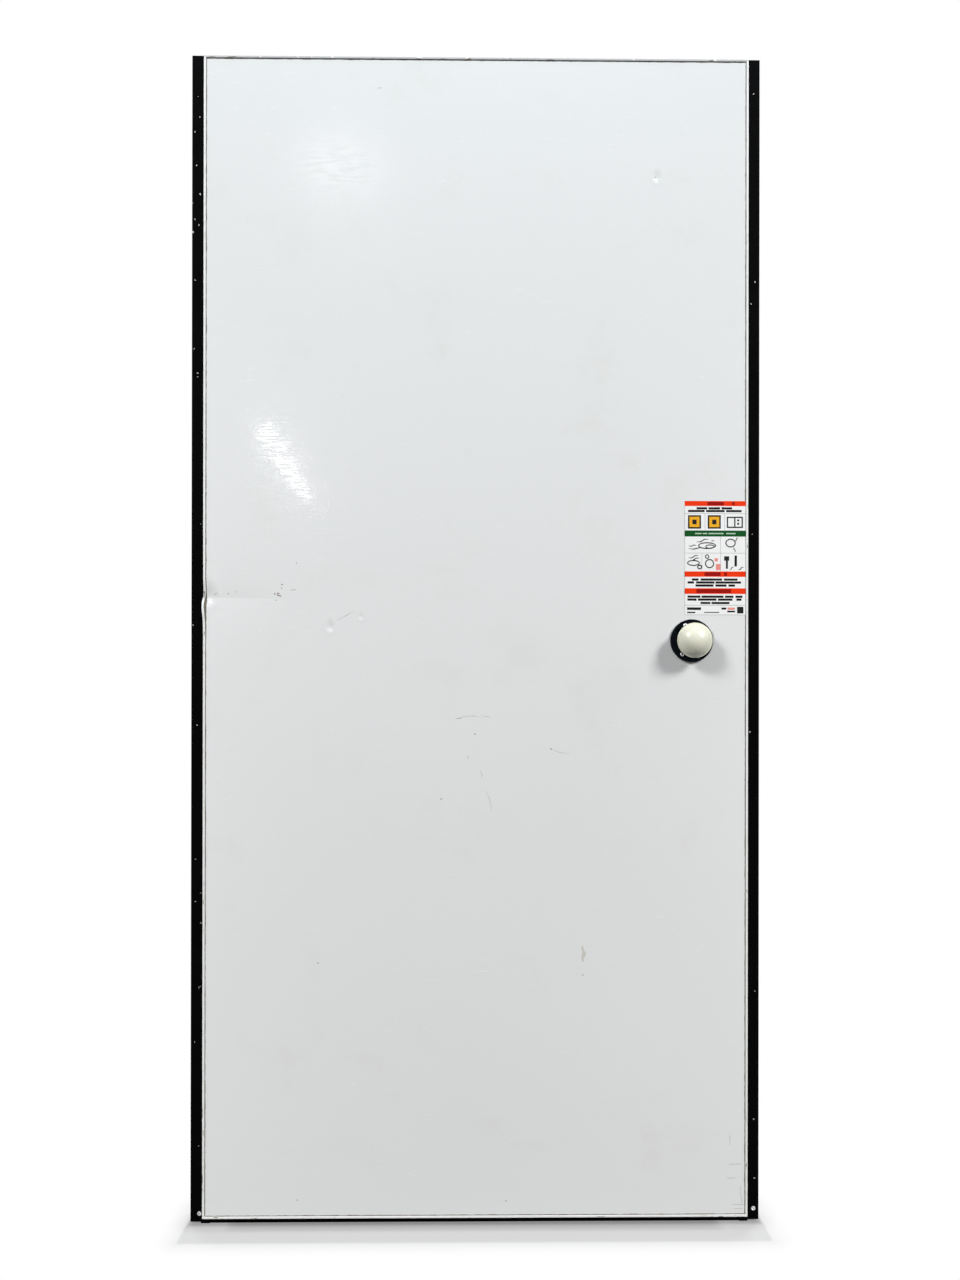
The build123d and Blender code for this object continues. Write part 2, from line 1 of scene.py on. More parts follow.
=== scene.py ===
"""The looks of a walk-in cooler door leaf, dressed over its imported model.

The sections go from the cold face and the foam behind it to the rails and
gaskets round them, the release, the sticker, and the hardware of the warm
side. The floor, the lamps and the camera come last. Everything is in metres,
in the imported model's frame: +X from the hinges to the latch, -Y into the cold
room, +Z up.
"""

import bmesh
import bpy
import numpy as np
from mathutils import Matrix, Vector


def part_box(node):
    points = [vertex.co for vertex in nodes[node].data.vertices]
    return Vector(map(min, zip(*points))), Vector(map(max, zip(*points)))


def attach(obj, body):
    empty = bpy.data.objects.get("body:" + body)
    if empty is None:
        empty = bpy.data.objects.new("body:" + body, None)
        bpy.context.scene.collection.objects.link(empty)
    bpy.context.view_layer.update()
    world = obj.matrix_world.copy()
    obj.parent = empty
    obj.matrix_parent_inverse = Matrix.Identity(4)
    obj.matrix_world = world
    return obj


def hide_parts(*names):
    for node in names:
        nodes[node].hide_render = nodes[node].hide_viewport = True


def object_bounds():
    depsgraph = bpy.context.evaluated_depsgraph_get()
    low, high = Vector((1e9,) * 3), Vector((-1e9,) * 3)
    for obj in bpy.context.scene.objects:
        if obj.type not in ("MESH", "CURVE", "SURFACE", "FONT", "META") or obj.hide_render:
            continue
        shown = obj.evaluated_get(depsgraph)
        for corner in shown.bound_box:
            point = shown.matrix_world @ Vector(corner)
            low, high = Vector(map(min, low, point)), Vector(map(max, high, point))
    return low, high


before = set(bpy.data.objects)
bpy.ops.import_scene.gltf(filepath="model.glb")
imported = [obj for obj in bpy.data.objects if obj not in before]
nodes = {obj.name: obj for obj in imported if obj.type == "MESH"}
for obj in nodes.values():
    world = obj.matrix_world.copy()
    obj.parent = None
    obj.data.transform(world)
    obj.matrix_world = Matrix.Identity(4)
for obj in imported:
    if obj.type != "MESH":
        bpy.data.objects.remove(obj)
cad_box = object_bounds()

# Cold face: a coil-coated steel sheet, 0.6 mm thick, slid into the rails and bonded to the foam.
# It lies in slow waves. Knocks have left a crease at the hinge side that ends in a pit at the rail,
# and three small dimples further in.
skin_low, skin_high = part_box("inner_skin")
knob_low, knob_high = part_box("release_knob")
knob_x = (knob_low.x + knob_high.x) / 2
knob_z = (knob_low.z + knob_high.z) / 2
face_y = skin_low.y
sheet_thickness = 0.0006
hole_radius = 0.020
crease_depth = 0.0027
crease_start = (0.05, 0.8175)
crease_fall = 0.02
crease_round = 0.0012
knock_z = 0.8080
knock_push = 0.0029
# Each pit: its centre in x and z, its radius and its depth.
pits = (
    (0.0455, 0.8170, 0.0090, 0.0031),
    (0.2481, 0.7680, 0.0046, 0.0012),
    (0.7888, 1.5150, 0.0048, 0.0013),
    (0.2990, 0.7856, 0.0032, 0.0006),
)


def hex_colour(code):
    """A colour written in sRGB hex, as linear red, green, blue and alpha."""
    parts = np.array([int(code[i : i + 2], 16) for i in (0, 2, 4)]) / 255
    linear = np.where(parts <= 0.04045, parts / 12.92, ((parts + 0.055) / 1.055) ** 2.4)
    return (*linear.tolist(), 1.0)


def add_node(owner, kind, sockets=(), **settings):
    """Adds a node and returns it.

    The settings are its properties, and the sockets give its inputs a value or the output that feeds them.
    """
    tree = owner.node_tree
    node = tree.nodes.new(kind)
    for name, value in settings.items():
        setattr(node, name, value)
    for key, value in dict(sockets).items():
        if isinstance(value, bpy.types.NodeSocket):
            tree.links.new(value, node.inputs[key])
        else:
            node.inputs[key].default_value = value
    return node


def new_material(name):
    """An empty node material and the output that gives a point's place on its object."""
    material = bpy.data.materials.new(name)
    material.use_nodes = True
    material.node_tree.nodes.clear()
    return material, add_node(material, "ShaderNodeTexCoord").outputs["Object"]


def noise(owner, place, scale, detail=4.0, roughness=0.6, distortion=0.0):
    """A noise pattern with about that many features to the metre."""
    sockets = {"Vector": place, "Scale": scale, "Detail": detail, "Roughness": roughness, "Distortion": distortion}
    return add_node(owner, "ShaderNodeTexNoise", sockets).outputs[0]


def ramp(owner, value, low, high, start=0.0, end=1.0):
    """A value between low and high turned smoothly into one between start and end, and held there outside them."""
    sockets = {0: value, 1: low, 2: high, 3: start, 4: end}
    return add_node(owner, "ShaderNodeMapRange", sockets, interpolation_type="SMOOTHSTEP").outputs[0]


def calculate(owner, operation, *values):
    """A Math node's result."""
    return add_node(owner, "ShaderNodeMath", dict(enumerate(values)), operation=operation).outputs[0]


def blend(owner, factor, first, second):
    """A colour between two, by a factor from 0 to 1."""
    sockets = {0: factor, 6: first, 7: second}
    return add_node(owner, "ShaderNodeMix", sockets, data_type="RGBA").outputs[2]


def relief(owner, height, distance):
    """A bump whose full height is that distance in metres."""
    return add_node(owner, "ShaderNodeBump", {"Strength": 1.0, "Distance": distance, "Height": height}).outputs[0]


def finish(material, colour, roughness, normal=None, **sockets):
    """Ends a material in its surface shader."""
    values = {"Base Color": colour, "Roughness": roughness}
    values.update({key.replace("_", " "): value for key, value in sockets.items()})
    if normal is not None:
        values["Normal"] = normal
    surface = add_node(material, "ShaderNodeBsdfPrincipled", values).outputs[0]
    add_node(material, "ShaderNodeOutputMaterial", {"Surface": surface})
    return material


def make_piece(name, points, faces, material, slot, body="leaf", smooth=True):
    """A closed mesh at the origin that rides on a body: doubles are merged, and its faces point outwards."""
    mesh = bpy.data.meshes.new(name)
    mesh.from_pydata(np.asarray(points).reshape(-1, 3).tolist(), [], [[int(v) for v in face] for face in faces])
    work = bmesh.new()
    work.from_mesh(mesh)
    bmesh.ops.remove_doubles(work, verts=work.verts, dist=1e-6)
    bmesh.ops.dissolve_degenerate(work, edges=work.edges, dist=1e-7)
    bmesh.ops.recalc_face_normals(work, faces=work.faces)
    work.to_mesh(mesh)
    work.free()
    mesh.polygons.foreach_set("use_smooth", np.full(len(mesh.polygons), smooth))
    mesh.materials.append(material)
    piece = bpy.data.objects.new(name, mesh)
    bpy.context.collection.objects.link(piece)
    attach(piece, body)
    return piece


def grid_faces(rows, columns, closed=False):
    """Faces between neighbours of a grid of points; closed joins the last column to the first."""
    here = np.arange(columns if closed else columns - 1)
    after = (here + 1) % columns
    row = np.arange(rows - 1)[:, None] * columns
    return np.stack([row + here, row + after, row + columns + after, row + columns + here], -1).reshape(-1, 4)


def gather(shapes):
    """Several (points, faces) shapes as one, each one's face numbers moved past those before it."""
    points, faces, count = [], [], 0
    for shape_points, shape_faces in shapes:
        flat = np.asarray(shape_points).reshape(-1, 3)
        points.append(flat)
        faces.extend([[v + count for v in face] for face in np.asarray(shape_faces, dtype=object).tolist()])
        count += len(flat)
    return np.concatenate(points), faces


def spaced(low, high, step, places):
    """Values from low to high, a step apart, and a closer step apart round each place: centre, spread, step."""
    values = [np.arange(low, high, step), [high]]
    for centre, spread, close in places:
        values.append(np.arange(max(low, centre - spread), min(high, centre + spread), close))
    values = np.unique(np.round(np.concatenate(values), 5))
    clear = np.concatenate([[True], np.diff(values) > 0.0005])
    clear[-1] = True
    return values[clear]


def smooth_step(value):
    """0 below 0 and 1 above 1, with a smooth S between."""
    held = np.clip(value, 0, 1)
    return held * held * (3 - 2 * held)


def rail_bulge(z):
    """How far the knock at the crease pushed the rail towards the hinges: a hump, steeper above than below."""
    away = z - knock_z
    return knock_push * np.exp(-((away / np.where(away > 0, 0.011, 0.026)) ** 2))


def face_depth(x, z):
    """How far the sheet lies behind its flat place.

    Three slow sine waves that fade to nothing at the rim, plus a V-shaped crease that dies out with x, plus
    pits, drawn out upwards, with a faint raised ring. All of it fades out under the release and the sticker.
    """
    rim = np.minimum(np.minimum(x - skin_low.x, skin_high.x - x), np.minimum(z - skin_low.z, skin_high.z - z))
    waves = 0.00024 * np.sin(7.1 * x + 3.3 * z + 0.6) + 0.00020 * np.sin(4.3 * z - 9.0 * x + 1.9)
    total = (waves + 0.00009 * np.sin(17.0 * z + 5.0 * x)) * (1 - np.exp(-np.maximum(rim, 0) / 0.06))
    line = crease_start[1] - crease_fall * (x - crease_start[0])
    away = np.sqrt((z - line) ** 2 + crease_round**2) - crease_round
    reach = np.where(z > line, 0.030, 0.036)
    total = total + crease_depth * (1 - smooth_step((x - 0.03) / 0.19)) * np.exp(-away / reach)
    for centre_x, centre_z, radius, depth in pits:
        far = np.hypot(x - centre_x, (z - centre_z) / np.where(z > centre_z, 1.8, 1.0)) / radius
        total = total + depth * np.exp(-(far**2)) - 0.15 * depth * np.exp(-((far - 2.0) ** 2) * 2)
    aside = np.maximum(np.maximum(0.80 - x, 0), np.maximum(np.abs(z - 0.85) - 0.15, 0))
    return total * smooth_step(aside / 0.10)


def face_place(x, z, lift=0.0):
    """The point of the sheet's front at x and z, a little in front of it by the lift."""
    x, z = np.broadcast_arrays(x, z)
    shift = rail_bulge(z) * np.exp(-np.maximum(x - skin_low.x, 0) / 0.008)
    return np.stack([x - shift, face_y + face_depth(x, z) - lift, z], -1)


close_x = [(0.10, 0.10, 0.004), (0.05, 0.022, 0.0012), (0.248, 0.014, 0.0014), (0.2990, 0.010, 0.0014)]
close_x += [(0.7888, 0.014, 0.0014), (skin_low.x, 0.0008, 0.0007), (skin_high.x, 0.0007, 0.0015)]
close_z = [(0.818, 0.045, 0.0020), (0.816, 0.024, 0.0012), (0.768, 0.014, 0.0014), (0.7856, 0.010, 0.0014)]
close_z += [(1.515, 0.014, 0.0014), (skin_low.z, 0.0008, 0.0007), (skin_high.z, 0.0007, 0.0015)]
sheet_x, sheet_z = np.meshgrid(
    spaced(skin_low.x, skin_high.x, 0.018, close_x), spaced(skin_low.z, skin_high.z, 0.020, close_z)
)
points = face_place(sheet_x, sheet_z)
faces = grid_faces(*sheet_x.shape)
middle = points.reshape(-1, 3)[faces].mean(1)
faces = faces[np.hypot(middle[:, 0] - knob_x, middle[:, 2] - knob_z) > hole_radius]

# Its coating is gloss white polyester: wiping has left fine scratches that show round a lamp's
# reflection, grease and dust cloud it a little, and grime sits in the seam along the rails.
coating, place = new_material("gloss_white_polyester_coating")
tone = blend(coating, noise(coating, place, 2.0, 3.0), hex_colour("E5E6E6"), hex_colour("E9EAEA"))
cloud = ramp(coating, noise(coating, place, 8.0, 6.0, 0.65), 0.52, 0.78, 0.0, 0.16)
tone = blend(coating, cloud, tone, hex_colour("CDC8BC"))
apart = add_node(coating, "ShaderNodeSeparateXYZ", {0: place})
rim = None
for axis, low, high in ((0, skin_low.x, skin_high.x), (2, skin_low.z, skin_high.z)):
    off = calculate(coating, "ABSOLUTE", calculate(coating, "SUBTRACT", apart.outputs[axis], (low + high) / 2))
    off = calculate(coating, "SUBTRACT", (high - low) / 2, off)
    rim = off if rim is None else calculate(coating, "MINIMUM", rim, off)
ragged = calculate(coating, "MULTIPLY_ADD", noise(coating, place, 55.0, 6.0, 0.72), 0.0034, 0.0)
seam = ramp(coating, calculate(coating, "SUBTRACT", rim, ragged), 0.0013, -0.0004, 0.0, 0.95)
tone = blend(coating, seam, tone, hex_colour("4E4435"))
film = ramp(coating, calculate(coating, "SUBTRACT", rim, ragged), 0.0110, 0.0, 0.0, 0.04)
tone = blend(coating, film, tone, hex_colour("A79E8C"))
wiped = None
for number, angle in enumerate((0.35, 1.05, 1.75, 2.35, 2.9)):
    turned = add_node(
        coating,
        "ShaderNodeMapping",
        {"Vector": place, "Rotation": (0.0, angle, 0.0), "Scale": (26.0, 1.0, 330.0), "Location": (number, 0, 0)},
    ).outputs[0]
    line = ramp(coating, noise(coating, turned, 1.0, 1.0), 0.60, 0.70)
    wiped = line if wiped is None else calculate(coating, "MAXIMUM", wiped, line)
gloss = ramp(coating, noise(coating, place, 18.0, 6.0, 0.7, 2.0), 0.40, 0.72, 0.055, 0.13)
gloss = calculate(coating, "MULTIPLY_ADD", wiped, 0.17, gloss)
normal = relief(coating, wiped, 0.000026)
finish(coating, tone, gloss, normal, IOR=1.5)

cold_face = make_piece("cold_face", points, faces, coating, "inside_steel")
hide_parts("inner_skin")
sheet = cold_face.modifiers.new("sheet", "SOLIDIFY")
sheet.thickness = sheet_thickness
sheet.offset = -1.0

# Foam: rigid polyurethane with fine cells, foamed in place between the skins. It is crushed a little
# behind the crease, where the sheet has been pressed into it.
foam, place = new_material("rigid_polyurethane_foam")
cells = add_node(foam, "ShaderNodeTexVoronoi", {"Vector": place, "Scale": 900.0}).outputs[0]
tone = blend(foam, noise(foam, place, 12.0), hex_colour("E5D3A0"), hex_colour("D8C48C"))
finish(foam, tone, 0.9, relief(foam, cells, 0.0003))
foam_gap = 0.0020
foam_back_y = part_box("foam_core")[1].y
foam_x, foam_z = np.meshgrid(
    spaced(skin_low.x, skin_high.x, 0.045, [(centre, spread, 2 * step) for centre, spread, step in close_x[:-2]]),
    spaced(skin_low.z, skin_high.z, 0.050, [(centre, spread, 2 * step) for centre, spread, step in close_z[:-2]]),
)
front = face_place(foam_x, foam_z, -foam_gap)
back = np.stack([foam_x, np.full_like(foam_x, foam_back_y), foam_z], -1)
ring = np.concatenate([
    np.arange(foam_x.shape[1]),
    np.arange(1, foam_x.shape[0]) * foam_x.shape[1] + foam_x.shape[1] - 1,
    foam_x.size - 1 - np.arange(1, foam_x.shape[1]),
    np.arange(foam_x.shape[0] - 2, 0, -1) * foam_x.shape[1],
])
after = np.roll(ring, -1)
faces = grid_faces(*foam_x.shape)
edge = np.stack([ring, after, after + foam_x.size, ring + foam_x.size], -1)
faces = np.concatenate([faces, faces + foam_x.size, edge])
filling = make_piece("foam_filling", np.stack([front, back]), faces, foam, "foam")
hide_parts("foam_core")

# Marks on the face: scratches through the gloss, chips that have rusted, and pale scuffs.
# Each is a thin film that follows the sheet, a few hundredths of a millimetre proud.
scraped, place = new_material("scraped_coating")
tone = blend(scraped, noise(scraped, place, 300.0), hex_colour("B9B7B0"), hex_colour("9E9B93"))
finish(scraped, tone, 0.55)
faint, place = new_material("scuffed_coating")
tone = blend(faint, noise(faint, place, 240.0), hex_colour("D5D3CC"), hex_colour("C4C1B8"))
finish(faint, tone, 0.5)
rust, place = new_material("rusted_steel")
tone = blend(rust, noise(rust, place, 700.0), hex_colour("5A4531"), hex_colour("7D684F"))
finish(rust, tone, 0.85, relief(rust, noise(rust, place, 1500.0), 0.0001))
mark_step = 0.0012
mark_foot = 0.00004
rust_spread = 1.25


def ribbon(start, end, width, lift=0.00005, bend=0.0, ragged=0.35, seed=0, ground=face_place):
    """A low strip from start to end over the ground, tapered at both ends.

    The path is a straight run plus a bend times a half sine. The width is a half ellipse along the path, made
    ragged by a few sines with seeded phases. The section is a low trapezoid with its foot in the ground.
    """
    chance = np.random.default_rng(seed)
    length = np.hypot(end[0] - start[0], end[1] - start[1])
    t = np.linspace(0, 1, max(7, min(40, int(length / mark_step))))
    tangent = np.array([end[0] - start[0], end[1] - start[1]]) / length
    side = np.array([-tangent[1], tangent[0]])
    phases = chance.uniform(0, 2 * np.pi, 4)
    wander = sum(np.sin(t * (5 + 4 * n) + phases[n]) for n in range(2)) * width * 0.25
    path = np.array(start) + np.outer(t, tangent * length) + np.outer(bend * np.sin(np.pi * t) + wander, side)
    shape = np.sqrt(np.clip(1 - (2 * t - 1) ** 2, 0.02, 1))
    shape = shape * (1 + ragged * np.sin(t * 19 + phases[2]) * np.sin(t * 8 + phases[3]))
    across = np.array([-0.5, -0.34, 0.34, 0.5])
    spread = path[:, None, :] + (shape[:, None] * across * width)[..., None] * side
    height = np.where(np.abs(across) < 0.4, lift, -mark_foot)
    points = ground(spread[..., 0], spread[..., 1], np.broadcast_to(height, spread.shape[:2]))
    last = (len(t) - 1) * 4
    caps = [[3, 2, 1, 0], [last, last + 1, last + 2, last + 3]]
    return points, grid_faces(len(t), 4, closed=True).tolist() + caps


scratches = [
    ((0.2590, 0.7795), (0.2905, 0.7955), 0.0009, 0.0006),
    ((0.4560, 0.6170), (0.4700, 0.6205), 0.0016, 0.0),
    ((0.4980, 0.6225), (0.5150, 0.6200), 0.0008, 0.0),
    ((0.6150, 0.5670), (0.6460, 0.5605), 0.0008, -0.0025),
    ((0.4960, 0.5320), (0.5000, 0.5180), 0.0009, 0.001),
    ((0.5060, 0.4980), (0.5155, 0.4640), 0.0008, 0.002),
    ((0.4770, 0.5560), (0.4762, 0.5515), 0.0016, 0.0),
    ((0.9090, -0.1210), (0.9320, -0.1213), 0.0011, 0.0),
    ((0.9060, -0.1443), (0.9220, -0.1440), 0.0011, 0.0),
    ((0.9120, -0.0900), (0.9122, -0.0700), 0.0008, 0.0),
    ((0.9150, -0.1878), (0.9350, -0.1882), 0.0009, 0.0),
    ((0.9180, -0.1945), (0.9330, -0.1947), 0.0008, 0.0),
    ((0.9340, -0.1458), (0.9352, -0.1456), 0.0015, 0.0),
    ((0.3250, 1.6600), (0.3330, 1.6615), 0.0013, 0.0),
    ((0.0780, 0.8250), (0.0800, 0.8215), 0.0020, 0.0012),
    ((0.0930, 0.8300), (0.0925, 0.8230), 0.0009, 0.0),
    ((0.1820, 0.8300), (0.1930, 0.8302), 0.0014, 0.0),
]
chips = [
    ((0.1560, 0.8220), (0.1580, 0.8240), 0.0020, 0.0),
    ((0.1605, 0.8252), (0.1650, 0.8235), 0.0018, 0.0),
    ((0.1600, 0.8215), (0.1680, 0.8192), 0.0016, 0.0004),
    ((0.1685, 0.8375), (0.1692, 0.8398), 0.0020, 0.0),
    ((0.1672, 0.8330), (0.1690, 0.8322), 0.0018, 0.0),
    ((0.1588, 0.8122), (0.1594, 0.8132), 0.0016, 0.0),
    ((0.1922, 0.8738), (0.1932, 0.8745), 0.0018, 0.0),
    ((0.4872, 0.5912), (0.4886, 0.5925), 0.0022, 0.0),
    ((0.6133, 0.5668), (0.6150, 0.5680), 0.0024, 0.0),
    ((0.4313, 0.4850), (0.4327, 0.4838), 0.0026, 0.0),
    ((0.6670, 0.1922), (0.6682, 0.1935), 0.0022, 0.0),
    ((0.2287, 0.2128), (0.2297, 0.2140), 0.0020, 0.0),
    ((0.1947, -0.1782), (0.1957, -0.1772), 0.0020, 0.0),
    ((0.5397, -0.1812), (0.5409, -0.1806), 0.0022, 0.0),
    ((0.7860, 1.5160), (0.7872, 1.5163), 0.0018, 0.0),
]
scuffs = [
    ((0.0552, 0.8224), (0.0634, 0.8230), 0.0030, 0.001),
    ((0.6670, 0.2150), (0.6700, 0.2420), 0.0060, 0.001),
    ((0.9290, -0.1560), (0.9330, -0.1900), 0.0018, 0.0),
    ((0.7890, 1.5120), (0.7960, 1.5090), 0.0016, 0.0),
    ((0.4700, 0.6210), (0.4960, 0.6222), 0.0016, 0.0),
]
kinds = (("scratches", scratches, scraped), ("rust_chips", chips, rust), ("scuffs", scuffs, faint))
for name, marks, material in kinds:
    wider = rust_spread if name == "rust_chips" else 1.0
    shapes = [ribbon(a, b, wider * width, bend=bend, seed=n) for n, (a, b, width, bend) in enumerate(marks)]
    make_piece(name, *gather(shapes), material, "inside_steel")

# Painted glints: where a cloth with grit in it has gone round and round, fine curved lines round the lamp's
# streak are painted brighter than the coating about them, standing in for that lamp's light in the scratches.
glint_paint, place = new_material("painted_scratch_glints")
finish(glint_paint, blend(glint_paint, noise(glint_paint, place, 300.0), hex_colour("FDFDFD"), hex_colour("F2F3F3")), 0.3)
chance = np.random.default_rng(5)
marks = 70
streak_x, streak_z = 0.1755, 1.0356
streak_half_length, streak_half_width = 0.078, 0.030
round_angle = chance.uniform(0, 2 * np.pi, marks)
reach = chance.uniform(0.6, 1.5, marks)
along = streak_half_length * reach * np.cos(round_angle)
across = streak_half_width * reach * np.sin(round_angle)
streak_tilt = np.radians(-56.0)
mark_x = streak_x + along * np.cos(streak_tilt) - across * np.sin(streak_tilt)
mark_z = streak_z + along * np.sin(streak_tilt) + across * np.cos(streak_tilt)
heading = streak_tilt + np.arctan2(0.6 * np.cos(round_angle), -np.sin(round_angle)) + chance.normal(0, 0.25, marks)
half = chance.uniform(0.003, 0.009, marks)
ends = np.stack([half * np.cos(heading), half * np.sin(heading)], -1)
middle = np.stack([mark_x, mark_z], -1)
shapes = [
    ribbon(tuple(at - end), tuple(at + end), 0.0008, 0.00004, bend=-0.0012, ragged=0.2, seed=200 + number)
    for number, (at, end) in enumerate(zip(middle, ends))
]
make_piece("painted_glint_arcs", *gather(shapes), glint_paint, "inside_steel")

# Rails: white rigid PVC, extruded, mitred at the corners and slid over the edge of the sheet.
# The lips are scuffed, and one blow has pushed the hinge-side rail out of line. The top one is made in a
# greyer shade of the vinyl.
rail_low, rail_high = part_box("edge_rail_hinge_side")


def rail_vinyl(name, light):
    """The rails' white vinyl in a lighter or a greyer shade, with scuffs and dirt in it."""
    material, spot = new_material(name)
    scuffed = ramp(material, noise(material, spot, 34.0, 7.0, 0.72), 0.50, 0.72, 0.0, 0.32)
    shade = blend(material, scuffed, hex_colour(light), hex_colour("A8A398"))
    soiled = ramp(material, noise(material, spot, 140.0, 5.0, 0.7), 0.60, 0.72, 0.0, 0.36)
    shade = blend(material, soiled, shade, hex_colour("6F675B"))
    return finish(material, shade, 0.36, relief(material, noise(material, spot, 90.0), 0.0001), IOR=1.53)


vinyl = rail_vinyl("white_rigid_pvc", "EEEFED")
grey_vinyl = rail_vinyl("greyed_rigid_pvc", "BCBEBE")


def dress(node_name, material):
    """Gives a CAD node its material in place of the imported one."""
    mesh = nodes[node_name].data
    mesh.materials.clear()
    mesh.materials.append(material)


for side, material in (("top", grey_vinyl), ("bottom", vinyl), ("latch_side", vinyl)):
    dress(f"edge_rail_{side}", material)

# The section of the hinge-side rail: inward from its outer side, and back from its front.
rail_outline = np.array([
    (0.0000, 0.0700), (0.0140, 0.0700), (0.0140, 0.0688), (0.0025, 0.0688), (0.0025, 0.0033), (0.0140, 0.0033),
    (0.0140, 0.0021), (0.0025, 0.0021), (0.0025, 0.0015), (0.0035, 0.0015), (0.0035, 0.0007), (0.0033, 0.0002),
    (0.0028, 0.0000), (0.0007, 0.0000), (0.0002, 0.0002), (0.0000, 0.0007), (0.0000, 0.0100), (0.0000, 0.0300),
])
steps = spaced(rail_low.z, rail_high.z, 0.060, [(0.805, 0.075, 0.003), (0.817, 0.024, 0.0015)])
steps = (steps - rail_low.z) / (rail_high.z - rail_low.z)
inward, behind = rail_outline[:, 0], rail_outline[:, 1]
rail_z = rail_low.z + inward + steps[:, None] * (rail_high.z - rail_low.z - 2 * inward)
front_share = smooth_step((0.012 - behind) / 0.010)
rail_x = rail_low.x + inward - rail_bulge(rail_z) * front_share
rail_y = rail_low.y + behind + face_depth(skin_low.x, rail_z) * smooth_step((0.030 - behind) / 0.026)
last = (len(steps) - 1) * len(inward)
caps = [list(range(len(inward))), list(range(last, last + len(inward)))]
rail = make_piece(
    "hinge_side_rail",
    np.stack([rail_x, rail_y, rail_z], -1),
    grid_faces(len(steps), len(inward), closed=True).tolist() + caps,
    vinyl,
    "white_rail",
    smooth=False,
)
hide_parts("edge_rail_hinge_side")

# Nicks in the lips: where an edge was hit, grime has settled and shows dark on the white. One of them, on
# the hinge-side lip at the crease, is painted shade where the pressed-in lip faces down. Short white marks
# show on the grey of the top rail.
grime_and_shade, place = new_material("ground_in_grime_and_painted_shade")
tone = blend(grime_and_shade, noise(grime_and_shade, place, 500.0), hex_colour("5E574B"), hex_colour("8B8273"))
finish(grime_and_shade, tone, 0.8)
lip_y = rail_low.y


def on_lip(x, z, lift):
    """A point in front of the rails' lips, which the blow moved and pressed in at the hinge side."""
    x, z, lift = np.broadcast_arrays(x, z, lift)
    hinge_share = np.where(x < 0.06, 1.0, 0.0)
    press = face_depth(skin_low.x, z) * hinge_share
    return np.stack([x - rail_bulge(z) * hinge_share, lip_y + press - lift, z], -1)


nicks_and_shade = [
    ((0.4700, 1.7090), (0.4810, 1.7092), 0.0020),
    ((0.3890, 1.7090), (0.3970, 1.7092), 0.0020),
    ((0.0440, 1.7094), (0.0590, 1.7095), 0.0012),
    ((0.0770, 1.7096), (0.0940, 1.7097), 0.0018),
    ((0.3140, 1.7090), (0.3215, 1.7091), 0.0009),
    ((0.4260, 1.7090), (0.4390, 1.7091), 0.0009),
    ((0.5440, 1.7093), (0.5465, 1.7094), 0.0022),
    ((0.6060, 1.7092), (0.6170, 1.7093), 0.0010),
    ((0.8740, 1.7096), (0.8830, 1.7097), 0.0016),
    ((0.0580, -0.2052), (0.0660, -0.2053), 0.0016),
    ((0.8920, -0.2072), (0.9010, -0.2072), 0.0012),
    ((0.8800, -0.2074), (0.8840, -0.2074), 0.0010),
    ((0.0395, -0.0200), (0.0397, -0.0420), 0.0009),
    ((0.0394, -0.1300), (0.0396, -0.1620), 0.0010),
    # This one, at the crease, is painted shade on the lip where the knock pressed it in.
    ((0.0408, 0.8290), (0.0412, 0.8165), 0.0019),
    ((0.0410, 0.7620), (0.0412, 0.7540), 0.0012),
    ((0.9395, 0.9060), (0.9393, 0.9010), 0.0014),
    ((0.9390, 0.3350), (0.9392, 0.3290), 0.0014),
    ((0.9392, -0.1180), (0.9390, -0.1260), 0.0016),
    ((0.6900, -0.2063), (0.7060, -0.2064), 0.0010),
    ((0.1200, -0.2063), (0.1330, -0.2064), 0.0010),
    ((0.0405, 0.3200), (0.0407, 0.3100), 0.0012),
    ((0.0409, -0.0600), (0.0407, -0.0720), 0.0012),
]
shapes = [ribbon(a, b, width, seed=40 + number, ground=on_lip) for number, (a, b, width) in enumerate(nicks_and_shade)]
make_piece("lip_nicks_and_painted_shade", *gather(shapes), grime_and_shade, "white_rail")
white_mark_paint, place = new_material("white_lip_mark_vinyl")
finish(white_mark_paint, blend(white_mark_paint, noise(white_mark_paint, place, 400.0), hex_colour("FAFAFA"), hex_colour("EDEDEC")), 0.5)
white_marks = [
    ((0.1305, 1.7116), (0.1335, 1.7088), 0.0018),
    ((0.1922, 1.7116), (0.1954, 1.7088), 0.0018),
    ((0.2156, 1.7116), (0.2188, 1.7088), 0.0016),
    ((0.2486, 1.7117), (0.2526, 1.7087), 0.0024),
    ((0.3890, 1.7112), (0.3990, 1.7110), 0.0026),
    ((0.4690, 1.7112), (0.4760, 1.7110), 0.0024),
    ((0.7480, 1.7116), (0.7512, 1.7088), 0.0016),
    ((0.8830, 1.7114), (0.8868, 1.7090), 0.0022),
]
shapes = [ribbon(a, b, width, 0.00007, seed=20 + number, ground=on_lip) for number, (a, b, width) in enumerate(white_marks)]
make_piece("white_lip_marks", *gather(shapes), white_mark_paint, "white_rail")

# Gaskets: black plasticised PVC, extruded round a magnet strip and welded at the top corners.
# They are matt with a faint bloom, and paint has been flicked over them.
rubber, place = new_material("black_plasticised_pvc")
dust = ramp(rubber, noise(rubber, place, 16.0, 6.0, 0.7), 0.50, 0.80, 0.0, 0.15)
tone = blend(rubber, dust, hex_colour("030304"), hex_colour("17181A"))
lint = ramp(rubber, noise(rubber, place, 420.0, 3.0, 0.7), 0.70, 0.76, 0.0, 0.35)
tone = blend(rubber, lint, tone, hex_colour("6A6B6C"))
sheen = ramp(rubber, noise(rubber, place, 30.0, 5.0), 0.35, 0.70, 0.36, 0.60)
bump = relief(rubber, noise(rubber, place, 60.0, 5.0), 0.0004)
finish(rubber, tone, sheen, bump, IOR=1.5, Specular_IOR_Level=0.02)
for name in ("gasket_top", "gasket_hinge_side", "gasket_latch_side", "bottom_sweep"):
    dress(name, rubber)
